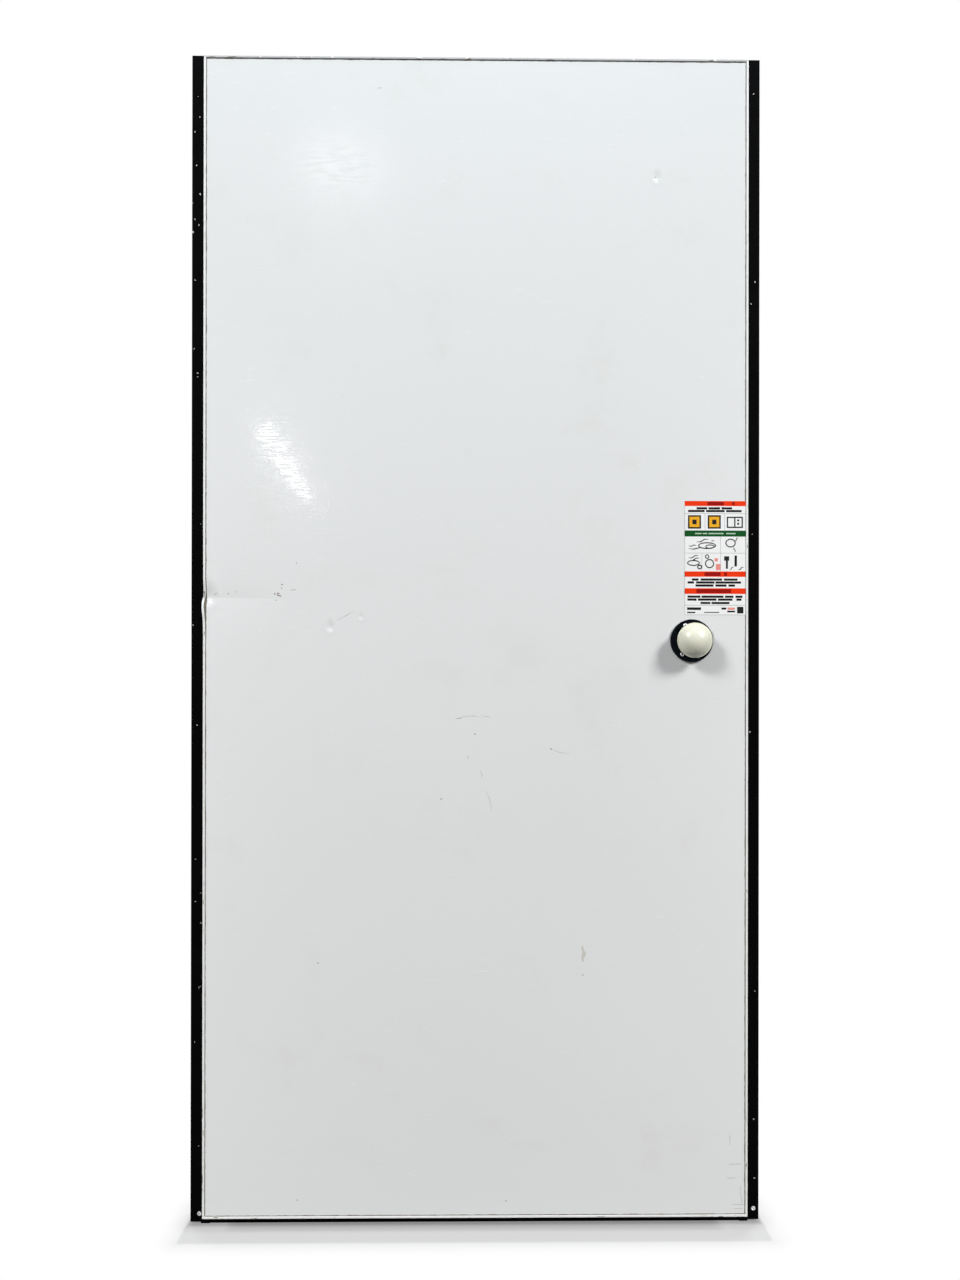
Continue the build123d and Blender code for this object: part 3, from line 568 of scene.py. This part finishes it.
breaker, place = new_material("black_rigid_pvc")
dust = ramp(breaker, noise(breaker, place, 22.0, 6.0, 0.7), 0.45, 0.80, 0.0, 0.4)
tone = blend(breaker, dust, hex_colour("101011"), hex_colour("3A3A3A"))
finish(breaker, tone, 0.48, relief(breaker, noise(breaker, place, 200.0), 0.00005), Specular_IOR_Level=0.08)
for side in ("top", "bottom", "latch_side", "hinge_side"):
    dress(f"breaker_{side}", breaker)

gasket_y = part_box("gasket_hinge_side")[0].y
paint, place = new_material("dried_white_paint")
tone = blend(paint, noise(paint, place, 600.0), hex_colour("F8F8F7"), hex_colour("DADAD8"))
finish(paint, tone, 0.5)


def on_gasket(x, z, lift):
    """A point in front of the gaskets."""
    x, z, lift = np.broadcast_arrays(x, z, lift)
    return np.stack([x, gasket_y - lift, z], -1)


flecks = [
    (0.0174, 1.6417, 2.2), (0.0090, 1.6161, 2.6), (0.0116, 1.5589, 2.8), (0.0177, 1.5102, 3.2), (0.0092, 1.4675, 2.2),
    (0.0160, 1.4573, 2.4), (0.0059, 1.4453, 4.2), (0.0094, 1.3633, 2.2), (0.0079, 1.2460, 2.0), (0.0143, 1.2046, 2.6),
    (0.0139, 1.1977, 1.8), (0.0070, 0.7744, 2.4), (0.0141, 0.6038, 2.0), (0.0121, 0.3753, 1.8), (0.0120, 0.3028, 2.2),
    (0.0213, 0.3173, 1.6), (0.0214, 0.2661, 2.0), (0.9652, 1.6883, 2.2), (0.9681, 1.3653, 2.6), (0.9613, 1.3275, 2.0),
    (0.9603, 0.5926, 2.4), (0.9673, -0.0713, 2.0), (0.9687, -0.1725, 2.2), (0.0145, 1.6770, 1.4), (0.0200, 0.9470, 1.3),
    (0.0110, 0.0630, 1.4), (0.9640, 0.9320, 1.3), (0.9690, 0.1480, 1.4), (0.0180, -0.1140, 1.4),
]
shapes = []
for number, (x, z, size) in enumerate(flecks):
    angle = 2.4 * number
    half = 0.00055 * size * np.array([np.cos(angle), np.sin(angle)])
    start, end = (x - half[0], z - half[1]), (x + half[0], z + half[1])
    shapes.append(ribbon(start, end, 0.0009 * size, 0.00015, seed=70 + number, ground=on_gasket))
curls = [((0.0030, 1.4960), (0.0052, 1.4930), 0.0015), ((0.0180, 0.1530), (0.0215, 0.1580), 0.0020)]
for number, (start, end, bend) in enumerate(curls):
    shapes.append(ribbon(start, end, 0.0008, 0.0002, bend=bend, seed=110 + number, ground=on_gasket))
make_piece("paint_flecks", *gather(shapes), paint, "gasket_vinyl")

# Corner blocks: one of the same black PVC closes each gap between the wiper and a side gasket's foot, and its
# black stands in for the shade under the leaf's corners. They are 4 mm high and stand a little behind the
# gaskets' front.
box_faces = [[0, 1, 3, 2], [4, 6, 7, 5], [0, 4, 5, 1], [2, 3, 7, 6], [0, 2, 6, 4], [1, 5, 7, 3]]
sweep_low, sweep_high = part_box("bottom_sweep")
blocks = []
for low, high in ((0.0218, sweep_low.x + 0.0005), (sweep_high.x - 0.0005, 0.9570)):
    x, y, z = (low, high), (gasket_y + 0.0005, gasket_y + 0.0080), (sweep_low.z, sweep_low.z + 0.0040)
    corners = np.stack(np.meshgrid(x, y, z, indexing="ij"), -1)
    blocks.append((corners, box_faces))
make_piece("corner_shade_blocks", *gather(blocks), rubber, "sweep_vinyl", smooth=False)

# Screws: pan heads with a cross recess, of zinc-plated steel. Two hold the feet of the side gaskets,
# and other sizes of them hold the wiper bar, the rose, the hinges and the latch.
plated, place = new_material("zinc_plated_steel")
tarnish = ramp(plated, noise(plated, place, 120.0, 5.0, 0.7), 0.40, 0.75)
tone = blend(plated, tarnish, hex_colour("D2D3D4"), hex_colour("A2A19E"))
finish(plated, tone, ramp(plated, noise(plated, place, 200.0), 0.3, 0.7, 0.22, 0.42), Metallic=1.0)


def pan_head(centre, facing, radius, height, turn=0.0):
    """A screw head that faces along +Y or -Y: a lathed dome over a polar grid, with a cross pressed into it."""
    ring = np.array([0, 0.10, 0.20, 0.30, 0.40, 0.50, 0.56, 0.62, 0.74, 0.86, 0.95, 1.0, 1.0, 0.0]) * radius
    top = height * np.sqrt(np.clip(1 - (ring / radius) ** 2 * 0.75, 0, 1))
    top[-2:] = -0.0003
    angle = np.linspace(0, 2 * np.pi, 40, endpoint=False)
    a = ring[:, None] * np.cos(angle)
    b = ring[:, None] * np.sin(angle)
    arm = np.minimum(np.abs(a), np.abs(b)) < 0.19 * radius
    sunk = arm & (np.hypot(a, b) < 0.59 * radius) & (np.arange(len(ring)) < 8)[:, None]
    depth = top[:, None] - np.where(sunk, 0.95 * height * (1 - np.hypot(a, b) / radius * 0.5), 0)
    x = centre[0] + a * np.cos(turn) - b * np.sin(turn)
    z = centre[2] + a * np.sin(turn) + b * np.cos(turn)
    return np.stack([x, centre[1] + facing * depth, z], -1), grid_faces(len(ring), 40, closed=True)


foot_screws = [
    pan_head((0.0197, gasket_y, -0.2290), -1, 0.0038, 0.0019, 0.4),
    pan_head((0.9665, gasket_y, -0.2240), -1, 0.0038, 0.0019, 1.0),
]
make_piece("gasket_screws", *gather(foot_screws), plated, "rod_steel")

# Wiper bar: an aluminium strip, drawn lengthwise, that clamps the bottom wiper to the leaf. It has a
# screw every 140 mm or so.
aluminium, place = new_material("mill_finish_aluminium")
drawn = add_node(aluminium, "ShaderNodeMapping", {"Vector": place, "Scale": (6.0, 900.0, 900.0)}).outputs[0]
tone = blend(aluminium, noise(aluminium, place, 40.0), hex_colour("C6C8CA"), hex_colour("ABADAF"))
finish(aluminium, tone, 0.38, relief(aluminium, noise(aluminium, drawn, 1.0), 0.00002), Metallic=1.0)
dress("sweep_retainer", aluminium)
bar_low, bar_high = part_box("sweep_retainer")
bar_screws = [
    pan_head((x, bar_low.y, (bar_low.z + bar_high.z) / 2), -1, 0.0034, 0.0016, 0.7 * number)
    for number, x in enumerate(np.linspace(bar_low.x + 0.04, bar_high.x - 0.04, 7))
]
make_piece("wiper_bar_screws", *gather(bar_screws), plated, "rod_steel")

# Release: a push knob of phosphorescent plastic, pressed on a plated rod that slides in a plastic
# tube through the leaf. A black moulded rose covers the hole, held to the sheet by three screws.
glow, place = new_material("phosphorescent_plastic")
tone = blend(glow, noise(glow, place, 60.0, 4.0), hex_colour("EAEADA"), hex_colour("E1E0CA"))
handled = ramp(glow, noise(glow, place, 150.0, 6.0, 0.7), 0.58, 0.76, 0.0, 0.35)
tone = blend(glow, handled, tone, hex_colour("C4BE9E"))
rough = ramp(glow, noise(glow, place, 220.0, 5.0), 0.35, 0.75, 0.24, 0.42)
finish(glow, tone, rough, IOR=1.55, Subsurface_Weight=0.03, Subsurface_Scale=0.003)
dress("release_knob", glow)

moulded, place = new_material("black_moulded_plastic")
worn = ramp(moulded, noise(moulded, place, 90.0, 6.0, 0.7), 0.50, 0.80, 0.0, 0.5)
tone = blend(moulded, worn, hex_colour("030405"), hex_colour("0F1317"))
gloss = ramp(moulded, noise(moulded, place, 160.0), 0.3, 0.7, 0.16, 0.30)
finish(moulded, tone, gloss, IOR=1.53, Specular_IOR_Level=0.08, Specular_Tint=hex_colour("BCD0E8"))
dress("release_rose", moulded)
dress("release_rod", plated)
dress("latch_pin", plated)
tube, place = new_material("natural_nylon")
finish(tube, blend(tube, noise(tube, place, 80.0), hex_colour("CFCDC2"), hex_colour("BFBDB1")), 0.5)
dress("release_guide", tube)

rose_seat_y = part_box("release_rose")[1].y - 0.0043
rose_circle = 0.0276
rose_screws = []
for number, angle in enumerate(np.radians([114.0, 234.0, 354.0])):
    at = (knob_x + rose_circle * np.cos(angle), rose_seat_y, knob_z + rose_circle * np.sin(angle))
    rose_screws.append(pan_head(at, -1, 0.0034, 0.0020, 0.9 * number))
make_piece("rose_screws", *gather(rose_screws), plated, "rod_steel")

# Sticker: a printed vinyl sheet above the release. Its print is plain blocks and bars of colour.
# Places on it are written in columns and rows from its upper left corner.
paper, place = new_material("white_sticker_vinyl")
tone = blend(paper, noise(paper, place, 30.0, 5.0), hex_colour("F8F8F8"), hex_colour("EEEEEC"))
finish(paper, tone, 0.34, IOR=1.5)
sticker_left, sticker_top = 0.8353, 0.9790
column_width, row_height = 0.001664, 0.001659
sticker_columns, sticker_rows = 61.4, 114.0
sheet_lift, ink_lift, sink = 0.00012, 0.00016, 0.00002
overprint = (ink_lift - sink, ink_lift + 0.00004)


def slab(left, right, top, bottom, low=sheet_lift - sink, high=ink_lift):
    """A thin block on the sticker between two columns and two rows: eight corners and six faces."""
    x = sticker_left + np.array([left, right]) * column_width
    z = sticker_top - np.array([bottom, top]) * row_height
    y = face_y - np.array([low, high])
    corners = np.stack(np.meshgrid(x, y, z, indexing="ij"), -1)
    return corners, box_faces


def hoop(column, row, radius_x, radius_z, line, sides=28, turn=0.0):
    """A flat ring on the sticker, in columns and rows: a rectangular section carried round an ellipse."""
    angle = np.linspace(0, 2 * np.pi, sides, endpoint=False) + turn
    out = np.array([radius_x, radius_x - line, radius_x - line, radius_x])
    up = np.array([radius_z, radius_z - line, radius_z - line, radius_z])
    x = sticker_left + (column + np.cos(angle)[:, None] * out) * column_width
    z = sticker_top - (row + np.sin(angle)[:, None] * up) * row_height
    lifts = np.array([ink_lift, ink_lift, sheet_lift - sink, sheet_lift - sink])
    y = np.broadcast_to(face_y - lifts, x.shape)
    points = np.stack([x, y, z], -1)
    faces = grid_faces(sides + 1, 4, closed=True) % (4 * sides)
    return points, faces


def stroke(start, end, width):
    """A straight printed line between two (column, row) places."""
    a = (sticker_left + start[0] * column_width, sticker_top - start[1] * row_height)
    b = (sticker_left + end[0] * column_width, sticker_top - end[1] * row_height)
    return ribbon(a, b, width * row_height, ink_lift, ragged=0.1)


sheet_shape = slab(0, sticker_columns, 0, sticker_rows, 0.0, sheet_lift)
make_piece("sticker_sheet", *sheet_shape, paper, "inside_steel", smooth=False)
full = (0.0, sticker_columns)
prints = {
    ("print_red", "F63E10", "EE340B"): [slab(*full, 0.0, 5.0), slab(*full, 70.4, 75.8), slab(*full, 87.3, 92.9)],
    ("print_dark_red", "9F0B05", "8A0804"): [
        slab(left, right, top, bottom, *overprint)
        for left, right, top, bottom in (
            (23.0, 39.2, 0.8, 4.2), (47.6, 50.0, 1.0, 4.0), (20.0, 36.0, 71.2, 75.0), (39.6, 42.4, 71.2, 75.0),
            (12.0, 46.5, 88.2, 92.0),
        )
    ],
    ("print_green", "06501C", "044418"): [slab(*full, 29.5, 35.5)],
    ("print_yellow", "F4B42E", "EEA928"): [slab(4.6, 15.2, 15.4, 26.4), slab(24.4, 35.0, 15.4, 26.4)],
    ("print_pink", "F09A90", "E88A80"): [
        slab(30.0, 33.4, 57.2, 60.4), slab(31.4, 36.0, 63.0, 69.2), slab(43.2, 50.4, 106.6, 108.8)
    ],
}
text_rows = {
    7.3: [(12.0, 22.5), (24.0, 35.5), (37.0, 47.5)],
    10.0: [(3.5, 20.0), (21.5, 40.0), (41.5, 57.0)],
    78.6: [(7.5, 14.0), (16.0, 37.5), (39.5, 53.0)],
    81.5: [(3.0, 9.5), (11.5, 30.0), (31.0, 56.5)],
    84.5: [(11.0, 29.0), (31.0, 42.0), (44.0, 50.5)],
    95.7: [(3.0, 16.0), (17.0, 39.0), (40.5, 49.0), (51.0, 58.0)],
    98.6: [(3.0, 12.0), (13.5, 32.0), (33.5, 48.0), (52.0, 57.0)],
    102.0: [(16.0, 26.0), (27.0, 45.0)],
}
bars = [slab(left, right, row - 1.1, row + 1.1) for row, runs in text_rows.items() for left, right in runs]
bars += [slab(2.6, 16.6, 106.4, 109.0), slab(2.6, 10.8, 110.8, 112.2), slab(37.0, 41.8, 106.6, 108.6)]
bars += [slab(52.6, 59.0, 105.8, 112.4), slab(42.8, 50.6, 109.6, 111.4), slab(19.6, 34.8, 111.0, 111.9)]
prints["print_grey", "161618", "0C0C0E"] = bars
outlines = []
for left in (3.4, 23.2):
    for edge in ((left, left + 13.0, 14.2, 15.7), (left, left + 13.0, 26.1, 27.6)):
        outlines.append(slab(*edge))
    outlines += [slab(left, left + 1.5, 15.7, 26.1), slab(left + 11.5, left + 13.0, 15.7, 26.1)]
    outlines.append(slab(left + 4.4, left + 8.6, 18.6, 23.2, ink_lift - sink, ink_lift + 0.00003))
for left in (42.6, 50.2):
    outlines += [slab(left, left + 7.6, 15.6, 16.9), slab(left, left + 7.6, 25.6, 26.9)]
outlines += [slab(x, x + 1.3, 15.6, 26.9) for x in (42.2, 49.6, 57.0)]
outlines += [slab(52.6, 54.6, 18.4, 20.2), slab(52.6, 54.6, 21.8, 23.6)]
outlines += [hoop(22.5, 44.6, 9.0, 3.4, 1.1), hoop(25.4, 45.6, 4.6, 2.2, 1.0), hoop(46.0, 42.0, 5.2, 4.4, 1.1)]
outlines += [hoop(9.0, 62.0, 6.4, 3.0, 1.1), hoop(25.0, 62.6, 4.6, 4.6, 1.1), hoop(22.6, 55.6, 2.2, 2.2, 1.0)]
outlines += [hoop(15.2, 66.0, 2.6, 2.4, 1.2)]
outlines += [slab(39.6, 44.6, 55.2, 59.6), slab(41.4, 43.4, 59.6, 67.8), slab(50.0, 52.4, 54.4, 65.4)]
strokes = (
    ((4.0, 47.6), (20.0, 47.4)), ((4.2, 44.8), (12.0, 44.6)), ((12.0, 41.0), (24.0, 38.2)),
    ((27.0, 39.0), (29.4, 40.6)), ((49.6, 40.2), (54.2, 36.6)), ((49.6, 46.0), (50.4, 51.4)),
    ((4.0, 57.0), (14.0, 54.6)), ((4.4, 60.0), (15.0, 57.0)), ((53.6, 68.6), (59.4, 66.2)),
    ((45.0, 68.4), (49.2, 66.0)),
)
outlines += [stroke(start, end, 1.4) for start, end in strokes]
prints["print_black", "0C0C0D", "1C1C1E"] = outlines
rules = [slab(*full, 12.4, 12.8), slab(*full, 51.9, 52.3), slab(*full, 104.0, 104.5), slab(0.0, 0.4, 5.0, 114.0)]
rules += [slab(20.2, 20.6, 12.8, 29.5), slab(39.9, 40.3, 12.8, 29.5), slab(35.9, 36.3, 35.5, 70.4)]
rules += [slab(61.0, 61.4, 5.0, 114.0), slab(*full, 113.6, 114.0), slab(17.2, 17.6, 52.3, 70.4)]
prints["print_pale_grey", "B4B6B6", "A6A8A8"] = rules
pale = [(10.5, 17.0), (18.2, 22.6), (24.0, 39.0), (41.6, 51.0)]
prints["print_pale_green", "BFD6C4", "A9C7B0"] = [
    slab(left, right, 31.9, 33.1, *overprint) for left, right in pale
]
for (name, light, dark), shapes in prints.items():
    ink, place = new_material(name)
    tone = blend(ink, noise(ink, place, 350.0, 3.0), hex_colour(light), hex_colour(dark))
    finish(ink, tone, 0.36, IOR=1.5, Specular_IOR_Level=0.15)
    make_piece(name, *gather(shapes), ink, "inside_steel", smooth=False)

# Warm side: a steel pan with the same kind of coating, folded round the flange and bonded to the foam.
# It carries fewer marks than the cold face.
warm_coating, place = new_material("white_polyester_coating_warm_side")
tone = blend(warm_coating, noise(warm_coating, place, 2.4, 3.0), hex_colour("E4E5E4"), hex_colour("EAEAE9"))
hands = ramp(warm_coating, noise(warm_coating, place, 10.0, 7.0, 0.7), 0.54, 0.78, 0.0, 0.18)
tone = blend(warm_coating, hands, tone, hex_colour("BDB7AA"))
gloss = ramp(warm_coating, noise(warm_coating, place, 18.0, 6.0, 0.7, 2.0), 0.40, 0.72, 0.10, 0.20)
finish(warm_coating, tone, gloss, relief(warm_coating, noise(warm_coating, place, 3.0, 1.0), 0.0008), IOR=1.5)
dress("outer_pan", warm_coating)

# Hinges and latch: zinc castings with a satin chrome plate, on nylon bushes and under nylon caps.
# Screws with wide heads hold the straps to the pan, and four smaller ones hold the latch.
satin, place = new_material("satin_chrome_plated_zinc")
wear = ramp(satin, noise(satin, place, 45.0, 6.0, 0.7), 0.45, 0.75)
tone = blend(satin, wear, hex_colour("AAACAF"), hex_colour("929497"))
gloss = ramp(satin, noise(satin, place, 70.0, 5.0), 0.3, 0.7, 0.20, 0.36)
finish(satin, tone, gloss, relief(satin, noise(satin, place, 260.0, 4.0), 0.00006), Metallic=1.0)
for name in ("hinge_strap_top", "hinge_strap_bottom", "latch_housing", "latch_lever"):
    dress(name, satin)
bright, place = new_material("polished_brass_chrome_plate")
tone = blend(bright, noise(bright, place, 300.0), hex_colour("D9DADB"), hex_colour("C6C7C8"))
finish(bright, tone, 0.12, Metallic=1.0)
dress("lock_cylinder", bright)
nylon, place = new_material("black_nylon")
tone = blend(nylon, noise(nylon, place, 120.0, 5.0), hex_colour("121213"), hex_colour("242426"))
finish(nylon, tone, 0.38, relief(nylon, noise(nylon, place, 500.0), 0.00003))
for name in ("hinge_bush_top", "hinge_bush_bottom", "hinge_cap_top", "hinge_cap_bottom", "latch_bolt"):
    dress(name, nylon)
strap_face_y = -0.0032
strap_screws = []
for strap in ("hinge_strap_bottom", "hinge_strap_top"):
    low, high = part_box(strap)
    middle = (low.z + high.z) / 2
    for number, x in enumerate((0.042, 0.105, 0.195)):
        strap_screws.append(pan_head((x, strap_face_y, middle), 1, 0.0068, 0.0034, 0.6 * number))
make_piece("hinge_screws", *gather(strap_screws), plated, "rod_steel")
housing_low, housing_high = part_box("latch_housing")
latch_screws = [
    pan_head((x, housing_high.y - 0.0001, knob_z + hand * 0.0205), 1, 0.0032, 0.0016, x * 40 + hand)
    for x in (housing_low.x + 0.013, housing_high.x - 0.013)
    for hand in (-1, 1)
]
make_piece("latch_screws", *gather(latch_screws), plated, "rod_steel")

# Floor: white to the camera. Under the leaf and close round it, where the leaf keeps the light off it, that
# white glow is turned down: a painted shadow on top of the real one. Its glow on the leaf is painted bounce
# light, strongest near the leaf.
leaf_middle = (0.49, -0.055, 0.0)
leaf_half = (0.487, 0.055, 9.0)


def seen_share(owner):
    """1 for a ray that the camera sees, straight or in gloss or through glass, and 0 for light on other things."""
    path = add_node(owner, "ShaderNodeLightPath").outputs
    seen = calculate(owner, "MAXIMUM", path["Is Camera Ray"], path["Is Glossy Ray"])
    return calculate(owner, "MAXIMUM", seen, path["Is Transmission Ray"])


floor_paint, place = new_material("white_studio_floor")
seen = seen_share(floor_paint)
matt = add_node(floor_paint, "ShaderNodeBsdfDiffuse", {"Color": hex_colour("888888")}).outputs[0]
apart = add_node(floor_paint, "ShaderNodeSeparateXYZ", {0: place})
near_level = calculate(floor_paint, "MULTIPLY_ADD", seen, 0.25, 0.2)
off = add_node(floor_paint, "ShaderNodeVectorMath", {0: place, 1: leaf_middle}, operation="SUBTRACT").outputs[0]
off = add_node(floor_paint, "ShaderNodeVectorMath", {0: off}, operation="ABSOLUTE").outputs[0]
off = add_node(floor_paint, "ShaderNodeVectorMath", {0: off, 1: leaf_half}, operation="SUBTRACT").outputs[0]
off = add_node(floor_paint, "ShaderNodeVectorMath", {0: off, 1: (0.0, 0.0, 0.0)}, operation="MAXIMUM").outputs[0]
distance = add_node(floor_paint, "ShaderNodeVectorMath", {0: off}, operation="LENGTH").outputs[1]
# Painted shadow: the camera's white glow is turned down under the leaf's front and close round its sides.
open_front = ramp(floor_paint, apart.outputs[1], -0.050, -0.070, 0.25, 1.0)
open_side = ramp(floor_paint, distance, -0.004, 0.008, 0.25, 1.25)
near_level = calculate(floor_paint, "MULTIPLY", near_level, calculate(floor_paint, "MAXIMUM", open_front, open_side))
lift = add_node(floor_paint, "ShaderNodeEmission", {"Strength": near_level}).outputs[0]
near = add_node(floor_paint, "ShaderNodeAddShader", {0: matt, 1: lift}).outputs[0]
# Painted bounce light: to all but the camera the floor glows faintly on the leaf, a little more near it.
bounce = ramp(floor_paint, distance, 0.2, 0.8, 0.12, 0.03)
far_level = calculate(floor_paint, "MAXIMUM", seen, bounce)
far = add_node(floor_paint, "ShaderNodeEmission", {"Strength": far_level}).outputs[0]
share = calculate(floor_paint, "POWER", ramp(floor_paint, distance, 0.0, 0.048), 0.55)
mixed = add_node(floor_paint, "ShaderNodeMixShader", {0: share, 1: near, 2: far}).outputs[0]
add_node(floor_paint, "ShaderNodeOutputMaterial", {"Surface": mixed})
reach = 9.0
corners = np.array([(-reach, -reach), (reach, -reach), (reach, reach), (-reach, reach)])
mesh = bpy.data.meshes.new("studio_floor")
mesh.from_pydata(np.column_stack([corners, np.full(4, cad_box[0][2] - 0.0002)]).tolist(), [], [(0, 1, 2, 3)])
mesh.materials.append(floor_paint)
floor = bpy.data.objects.new("studio_floor", mesh)
bpy.context.collection.objects.link(floor)

# Light: two large lamps, high at the left and right, throw the knob's two shadows. A cool panel
# overhead and a strip down each side fill in, and two more lamps light the warm side. Two small lamps
# show in the gloss of the face.
world = bpy.data.worlds.new("studio")
bpy.context.scene.world = world
world.use_nodes = True
world.node_tree.nodes.clear()
sky_level = calculate(world, "MULTIPLY_ADD", seen_share(world), 0.98, 0.02)
sky = add_node(world, "ShaderNodeBackground", {"Color": (1.0, 1.0, 1.0, 1.0), "Strength": sky_level}).outputs[0]
add_node(world, "ShaderNodeOutputWorld", {"Surface": sky})


def add_lamp(name, place, aim, size, power, colour="FFFFFF", turn=0.0, shape="", shown=True):
    """A rectangular lamp that faces a point, turned by degrees, and shown in gloss or not.

    A soft one dims from its middle to its edge. A wedge is wide at its top, narrow at its foot, and ragged.
    """
    data = bpy.data.lights.new(name, "AREA")
    data.shape = "RECTANGLE"
    data.size, data.size_y = size
    data.energy = power
    data.color = hex_colour(colour)[:3]
    if shape:
        data.use_nodes = True
        data.node_tree.nodes.clear()
        spot = add_node(data, "ShaderNodeNewGeometry").outputs["Parametric"]
        away = add_node(data, "ShaderNodeVectorMath", {0: spot, 1: (0.5, 0.5, 0.0)}, operation="SUBTRACT").outputs[0]
        if shape == "soft":
            off = add_node(data, "ShaderNodeVectorMath", {0: away}, operation="LENGTH").outputs[1]
            level = ramp(data, off, 0.5, 0.05)
        else:
            across, along = add_node(data, "ShaderNodeSeparateXYZ", {0: away}).outputs[:2]
            half_width = calculate(data, "MULTIPLY_ADD", along, 0.20, 0.29)
            ragged = calculate(data, "MULTIPLY_ADD", noise(data, spot, 7.0, 6.0, 0.8), 0.5, -0.25)
            inside = calculate(data, "SUBTRACT", half_width, calculate(data, "ABSOLUTE", across))
            level = ramp(data, calculate(data, "ADD", inside, ragged), -0.03, 0.09)
            level = calculate(data, "MULTIPLY", level, ramp(data, calculate(data, "ABSOLUTE", along), 0.5, 0.38))
        glow = add_node(data, "ShaderNodeEmission", {"Strength": level}).outputs[0]
        add_node(data, "ShaderNodeOutputLight", {"Surface": glow})
    lamp = bpy.data.objects.new(name, data)
    lamp.location = place
    facing = (Vector(aim) - Vector(place)).to_track_quat("-Z", "Y").to_matrix()
    lamp.rotation_euler = (facing @ Matrix.Rotation(np.radians(turn), 3, "Z")).to_euler()
    lamp.visible_camera = False
    lamp.visible_glossy = shown
    bpy.context.collection.objects.link(lamp)


add_lamp("key_right", (8.032, -6.518, 7.300), (0.55, -0.10, 0.70), (2.6, 2.6), 1145.0)
add_lamp("key_left", (-6.338, -6.518, 7.300), (0.55, -0.10, 0.70), (2.6, 2.6), 825.0)
add_lamp("overhead_panel", (0.49, -0.75, 2.55), (0.49, -0.10, 1.50), (1.7, 0.35), 4.2, "CBEEFF")
add_lamp("side_strip_left", (-0.22, -0.36, 0.35), (0.10, -0.10, 0.35), (0.12, 1.9), 0.45)
add_lamp("side_strip_right", (1.20, -0.36, 0.35), (0.88, -0.10, 0.35), (0.12, 1.9), 0.39)
add_lamp("back_left", (2.60, 2.30, 2.40), (0.49, 0.00, 0.75), (1.5, 1.5), 84.0, shown=False)
add_lamp("back_right", (-1.60, 2.30, 2.40), (0.49, 0.00, 0.75), (1.5, 1.5), 60.0, shown=False)
add_lamp("ceiling_glow", (-0.0530, -2.5770, 2.7990), (0.2635, -0.1095, 1.5329), (0.62, 0.42), 2.3, shape="soft")
add_lamp(
    "ceiling_tube", (-0.2795, -2.5770, 1.5722), (0.1735, -0.1095, 1.0412), (0.110, 0.40), 2.4, turn=36.0, shape="wedge"
)

# Camera: held upright in front of the leaf, a little left of its middle. Its lens is shifted, so that
# its axis meets the picture below the middle row.
image_height = 1280
focal_pixels = 994.55
axis_row = 675.54
camera_data = bpy.data.cameras.new("camera")
camera_data.sensor_fit = "VERTICAL"
camera_data.sensor_height = 36.0
camera_data.lens = focal_pixels / image_height * camera_data.sensor_height
camera_data.shift_y = (axis_row - image_height / 2) / image_height
camera = bpy.data.objects.new("camera", camera_data)
camera.location = (0.47839, -1.75594, 0.68714)
turn = Matrix.Rotation(np.radians(-0.61894), 3, "Z") @ Matrix.Rotation(np.radians(90.05904), 3, "X")
camera.rotation_euler = (turn @ Matrix.Rotation(np.radians(0.07854), 3, "Z")).to_euler()
bpy.context.collection.objects.link(camera)
bpy.context.scene.camera = camera
bpy.context.scene.view_settings.view_transform = "Standard"
